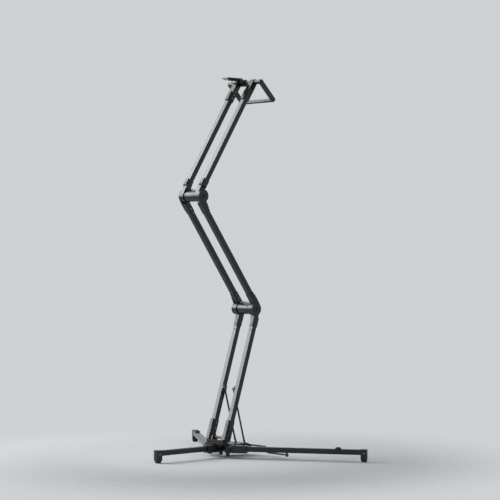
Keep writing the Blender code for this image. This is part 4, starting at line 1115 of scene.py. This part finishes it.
def dress_base():
    for name, body, place in (("front", "base", FRONT_LEG), ("right", "right_leg", RIGHT_LEG),
                              ("left", "left_leg", LEFT_LEG)):
        tube(f"{name}_leg_tube", body, place, "X", "leg tube")
        leg_knuckle(name, body, place)
        end_post(name, body, place)
        foot_pad(name, body, place)
        pivot_bolt(name)
    leg_bumper("right", "right_leg", RIGHT_LEG)
    leg_bumper("left", "left_leg", LEFT_LEG)
    dress_hub()
    dress_bracket()
    axle("foot_axle", "base", LOWER, (0.0, 0.0), FOOT_AXLE_RADIUS)
    dress_brace("right", 1)
    dress_brace("left", -1)
    dress_stays()


# Head

def dovetail(middle, half, low, high):
    """A dovetail outline that narrows from low to high."""
    slope = (high - low) * math.tan(math.radians(DOVETAIL_ANGLE))
    return [(middle - half, low), (middle + half, low),
            (middle + half - slope, high), (middle - half + slope, high)]


def head_arm(middle):
    """The tilting arm and the plate's clamp, with its groove and slit."""
    low, high = measure("head_arm", HEAD)
    arm = hull(circle(high.y), rectangle((low.y + 0.0040, -0.0016), (0.0, 0.0037)))
    piece = solid("head_arm_body", prism(arm, ARM_LEFT, ARM_LEFT + ARM_THICKNESS, "X"), HEAD)
    join(piece, prism(rounded((low.x, low.y), (high.x, CLAMP_REAR), 0.0022), CLAMP_LOW, CLAMP_HIGH, "Z"))
    groove = dovetail(middle, DOVETAIL_HALF, GROOVE_FLOOR, CLAMP_HIGH + 0.001)
    slit, front, rear = middle + DOVETAIL_HALF, low.y - JUST_PAST, CLAMP_REAR + JUST_PAST
    cut(piece, prism(groove, front, rear, "Y"),
        block((slit - JAW_SLIT / 2, front, JAW_SLIT_LOW), (slit, rear, GROOVE_FLOOR + 0.0004)),
        bore(TOP_AXLE_RADIUS))
    fit(ease(piece, 0.0007), "head", "fitting", "head_arm")
    for number, x in enumerate((-0.0262, -0.0105)):
        screw(f"head_clamp_screw_{number}", "head clamp", "head", HEAD, (x, low.y, 0.0030), (0, -1, 0))


def tilt_boss():
    """The knurled boss that locks the tilt."""
    low, high = measure("tilt_lock_boss", HEAD)
    lip, knurl = 0.0010, 0.0007
    end = ((TOP_AXLE_RADIUS + GAP, 0.0, 0.0), (BOSS_RADIUS - lip, 0.0, 0.0), (BOSS_RADIUS, 0.0, lip),
           (BOSS_RADIUS, 0.0, 0.0040), (BOSS_RADIUS, knurl, 0.0044))
    skin = fluted(both_ends(end, low.x, high.x), 40, "X", ring=True)
    fit(solid("tilt_lock_boss_body", skin, HEAD), "head", "fitting", "tilt_lock_boss")


def head_spacer():
    """The spacer beside the boss, with a neck between its rims."""
    low, high = measure("head_spacer", HEAD)
    end = ((TOP_AXLE_RADIUS + GAP, 0.0), (SPACER_RADIUS, 0.0), (SPACER_RADIUS, 0.0050),
           (SPACER_RADIUS - 0.0010, 0.0060))
    skin = turned(both_ends(end, low.x, high.x), "X", sides=MEDIUM, ring=True)
    fit(solid("head_spacer_body", skin, HEAD), "head", "axle", "head_spacer")


def release_plate(middle):
    """The release plate with its dovetail tongue, its screw's slot and two rubber strips."""
    low, high = measure("release_plate", HEAD)
    top, base = high.z, GROOVE_FLOOR + DOVETAIL_DEPTH

    def strip(side, gap):
        x, half, inset = middle + side * STRIP_X, STRIP_HALF - gap, STRIP_INSET + gap
        return rounded((x - half, low.y + inset), (x + half, high.y - inset), STRIP_CORNER - gap)

    plate = prism(rounded((low.x, low.y), (high.x, high.y), 0.0024), base, top, "Z")
    piece = solid("release_plate_body", plate, HEAD)
    tongue = dovetail(middle, DOVETAIL_HALF - 1.5 * GAP, low.z, base + 0.001)
    join(piece, prism(tongue, low.y + 0.004, high.y - 0.001, "Y"))
    ease(piece, 0.0007)
    slot = rounded((middle - SLOT_HALF, SCREW_Y - SLOT_HALF),
                   (middle + SLOT_HALF, SCREW_Y + SLOT_HALF + SLOT_TRAVEL), 0.0032)
    cut(piece, *[prism(strip(side, 0.0), top - STRIP_DEPTH, top + PAST, "Z") for side in (-1, 1)],
        prism(slot, low.z - PAST, top + PAST, "Z"))
    fit(piece, "plate", "fitting", "release_plate")
    for number, side in enumerate((-1, 1)):
        pad = solid(f"plate_rubber_{number}", prism(strip(side, STRIP_GAP), top - 0.0007, top, "Z"), HEAD)
        fit(ease(pad, 0.0002, 1), "plate", "foot rubber")


def camera_screw(middle):
    """The screw that slides in the plate's slot, with a coin slot across its head below."""
    low, high = measure("camera_screw", HEAD)
    head, seat, rim, tip = (high.x - low.x) / 2, low.z + 0.0034, 0.0006, 0.0004
    profile = ((head - rim, low.z), (head, low.z + rim), (head, seat), (SCREW_RADIUS, seat),
               (SCREW_RADIUS, high.z - tip), (SCREW_RADIUS - tip, high.z))
    piece = solid("camera_screw_body", turned(profile, centre=(middle, SCREW_Y), sides=MEDIUM), HEAD)
    cut(piece, block((middle - 2 * PAST, SCREW_Y - 0.0007, low.z - PAST),
                     (middle + 2 * PAST, SCREW_Y + 0.0007, low.z + 0.0014)))
    fit(piece, "plate", "screw", "camera_screw")


def clamp_knob():
    """The fluted knob that tightens the plate's clamp."""
    low, high = measure("clamp_knob", HEAD)
    start, end, neck, radius = low.x, high.x, 0.0055, KNOB_RADIUS
    profile = ((neck, 0.0, start), (neck, 0.0, start + 0.0030), (radius - 0.0010, 0.0, start + 0.0038),
               (radius, 0.0012, start + 0.0048), (radius, 0.0012, end - 0.0018),
               (radius - 0.0010, 0.0006, end - 0.0005), (radius - 0.0022, 0.0, end),
               (radius - 0.0032, 0.0, end), (radius - 0.0036, 0.0, end - 0.0006))
    skin = fluted(profile, 12, "X", ((low.y + high.y) / 2, (low.z + high.z) / 2))
    fit(solid("clamp_knob_body", skin, HEAD), "knob", "knob", "clamp_knob")


def dress_head():
    low, high = measure("head_arm", HEAD)
    middle = (low.x + high.x) / 2
    head_arm(middle)
    tilt_boss()
    head_spacer()
    release_plate(middle)
    camera_screw(middle)
    clamp_knob()


# Handle

def dress_handle():
    """The crossbar and its two struts, hinged on the top axle outside the tubes."""
    low, high = measure("handle_crossbar", HANDLE)
    reach = (low.y + high.y) / 2
    outline = rounded((low.y, low.z), (high.y, high.z), 0.0032)
    piece = solid("handle_crossbar_body", prism(outline, low.x, high.x, "X"), HANDLE)
    fit(ease(piece, 0.0003, 1, 60), "handle", "arm tube", "handle_crossbar")
    for name, side in SIDES:
        node = f"handle_strut_{name}"
        strut_end = measure(node, HANDLE)[1]
        half = strut_end.z
        outline = hull(circle(half), rounded((0.0, -half), (strut_end.y, half), 0.0042))
        piece = solid(node + "_body", prism(outline, *span(side, STRUT_INNER, HANDLE_FACE), "X"), HANDLE)
        join(piece, bar(HINGE_RADIUS, *span(side, SLEEVE_OUTER + RUNNING_GAP, STRUT_INNER + 0.001)))
        pivot_hole = bar(TOP_AXLE_RADIUS + GAP, *span(side, 0.0, HANDLE_FACE - 0.0008), sides=MEDIUM)
        cut(ease(piece, 0.0009), pivot_hole)
        fit(piece, "handle", "fitting", node)
        for kind, y in (("pivot", 0.0), ("bar", reach)):
            screw(f"handle_{kind}_screw_{name}", "handle " + kind, "handle", HANDLE,
                  (side * HANDLE_FACE, y, 0.0), (side, 0, 0))


# Studio

def dress_studio():
    """The floor, the plain background that only the camera and reflections see, and the lights."""
    floor = solid("studio_floor", prism(circle(FLOOR_RADIUS), -FLOOR_DEPTH, 0.0, "Z"), Matrix.Identity(4))
    floor.data.materials.append(studio_floor())

    world = bpy.data.worlds.new("studio")
    world.use_nodes = True
    bpy.context.scene.world = world
    nodes, links = world.node_tree.nodes, world.node_tree.links
    light = nodes["Background"]
    light.inputs["Color"].default_value = (0.96, 0.98, 1.0, 1.0)
    light.inputs["Strength"].default_value = WORLD_LIGHT
    plain = nodes.new("ShaderNodeBackground")
    plain.inputs["Color"].default_value = (*BACKGROUND, 1.0)
    path = nodes.new("ShaderNodeLightPath")
    seen = path.outputs["Is Camera Ray"]
    for kind in ("Is Glossy Ray", "Is Transmission Ray"):
        either = nodes.new("ShaderNodeMath")
        either.operation = "MAXIMUM"
        links.new(seen, either.inputs[0])
        links.new(path.outputs[kind], either.inputs[1])
        seen = either.outputs[0]
    mix = nodes.new("ShaderNodeMixShader")
    links.new(seen, mix.inputs[0])
    links.new(light.outputs[0], mix.inputs[1])
    links.new(plain.outputs[0], mix.inputs[2])
    links.new(mix.outputs[0], nodes["World Output"].inputs["Surface"])

    softbox("key_softbox", (-3.20, -1.81, 2.62), (0.0, 0.0, 0.90), 1.9, 3.5, 212.0)
    softbox("high_softbox", (-3.30, 0.80, 4.30), (0.0, 0.1, 1.30), 1.5, 1.7, 17.0)
    softbox("fill_softbox", (3.2, 2.2, 3.6), (0.0, 0.0, 0.7), 2.0, 2.0, 20.0)


def softbox(name, place, target, width, height, watts):
    """A soft light at a place, turned to a target."""
    lamp = bpy.data.lights.new(name, "AREA")
    lamp.shape = "RECTANGLE"
    lamp.size = width
    lamp.size_y = height
    lamp.energy = watts
    holder = bpy.data.objects.new(name, lamp)
    holder.location = place
    holder.rotation_euler = (Vector(target) - Vector(place)).to_track_quat("-Z", "Y").to_euler()
    bpy.context.scene.collection.objects.link(holder)


def set_camera():
    """The level camera at the photograph's viewing angle."""
    camera = bpy.data.cameras.new("camera")
    camera.sensor_width = 36.0
    camera.lens = CAMERA_LENS
    camera.clip_end = 60.0
    holder = bpy.data.objects.new("camera", camera)
    holder.location = CAMERA_PLACE
    holder.rotation_euler = (math.radians(90), 0.0, math.radians(CAMERA_TURN))
    bpy.context.scene.collection.objects.link(holder)
    bpy.context.scene.camera = holder
    bpy.context.scene.view_settings.view_transform = "Standard"


dress_lower_arm()
dress_middle_arm()
dress_upper_arm()
dress_base()
dress_head()
dress_handle()
dress_studio()
set_camera()
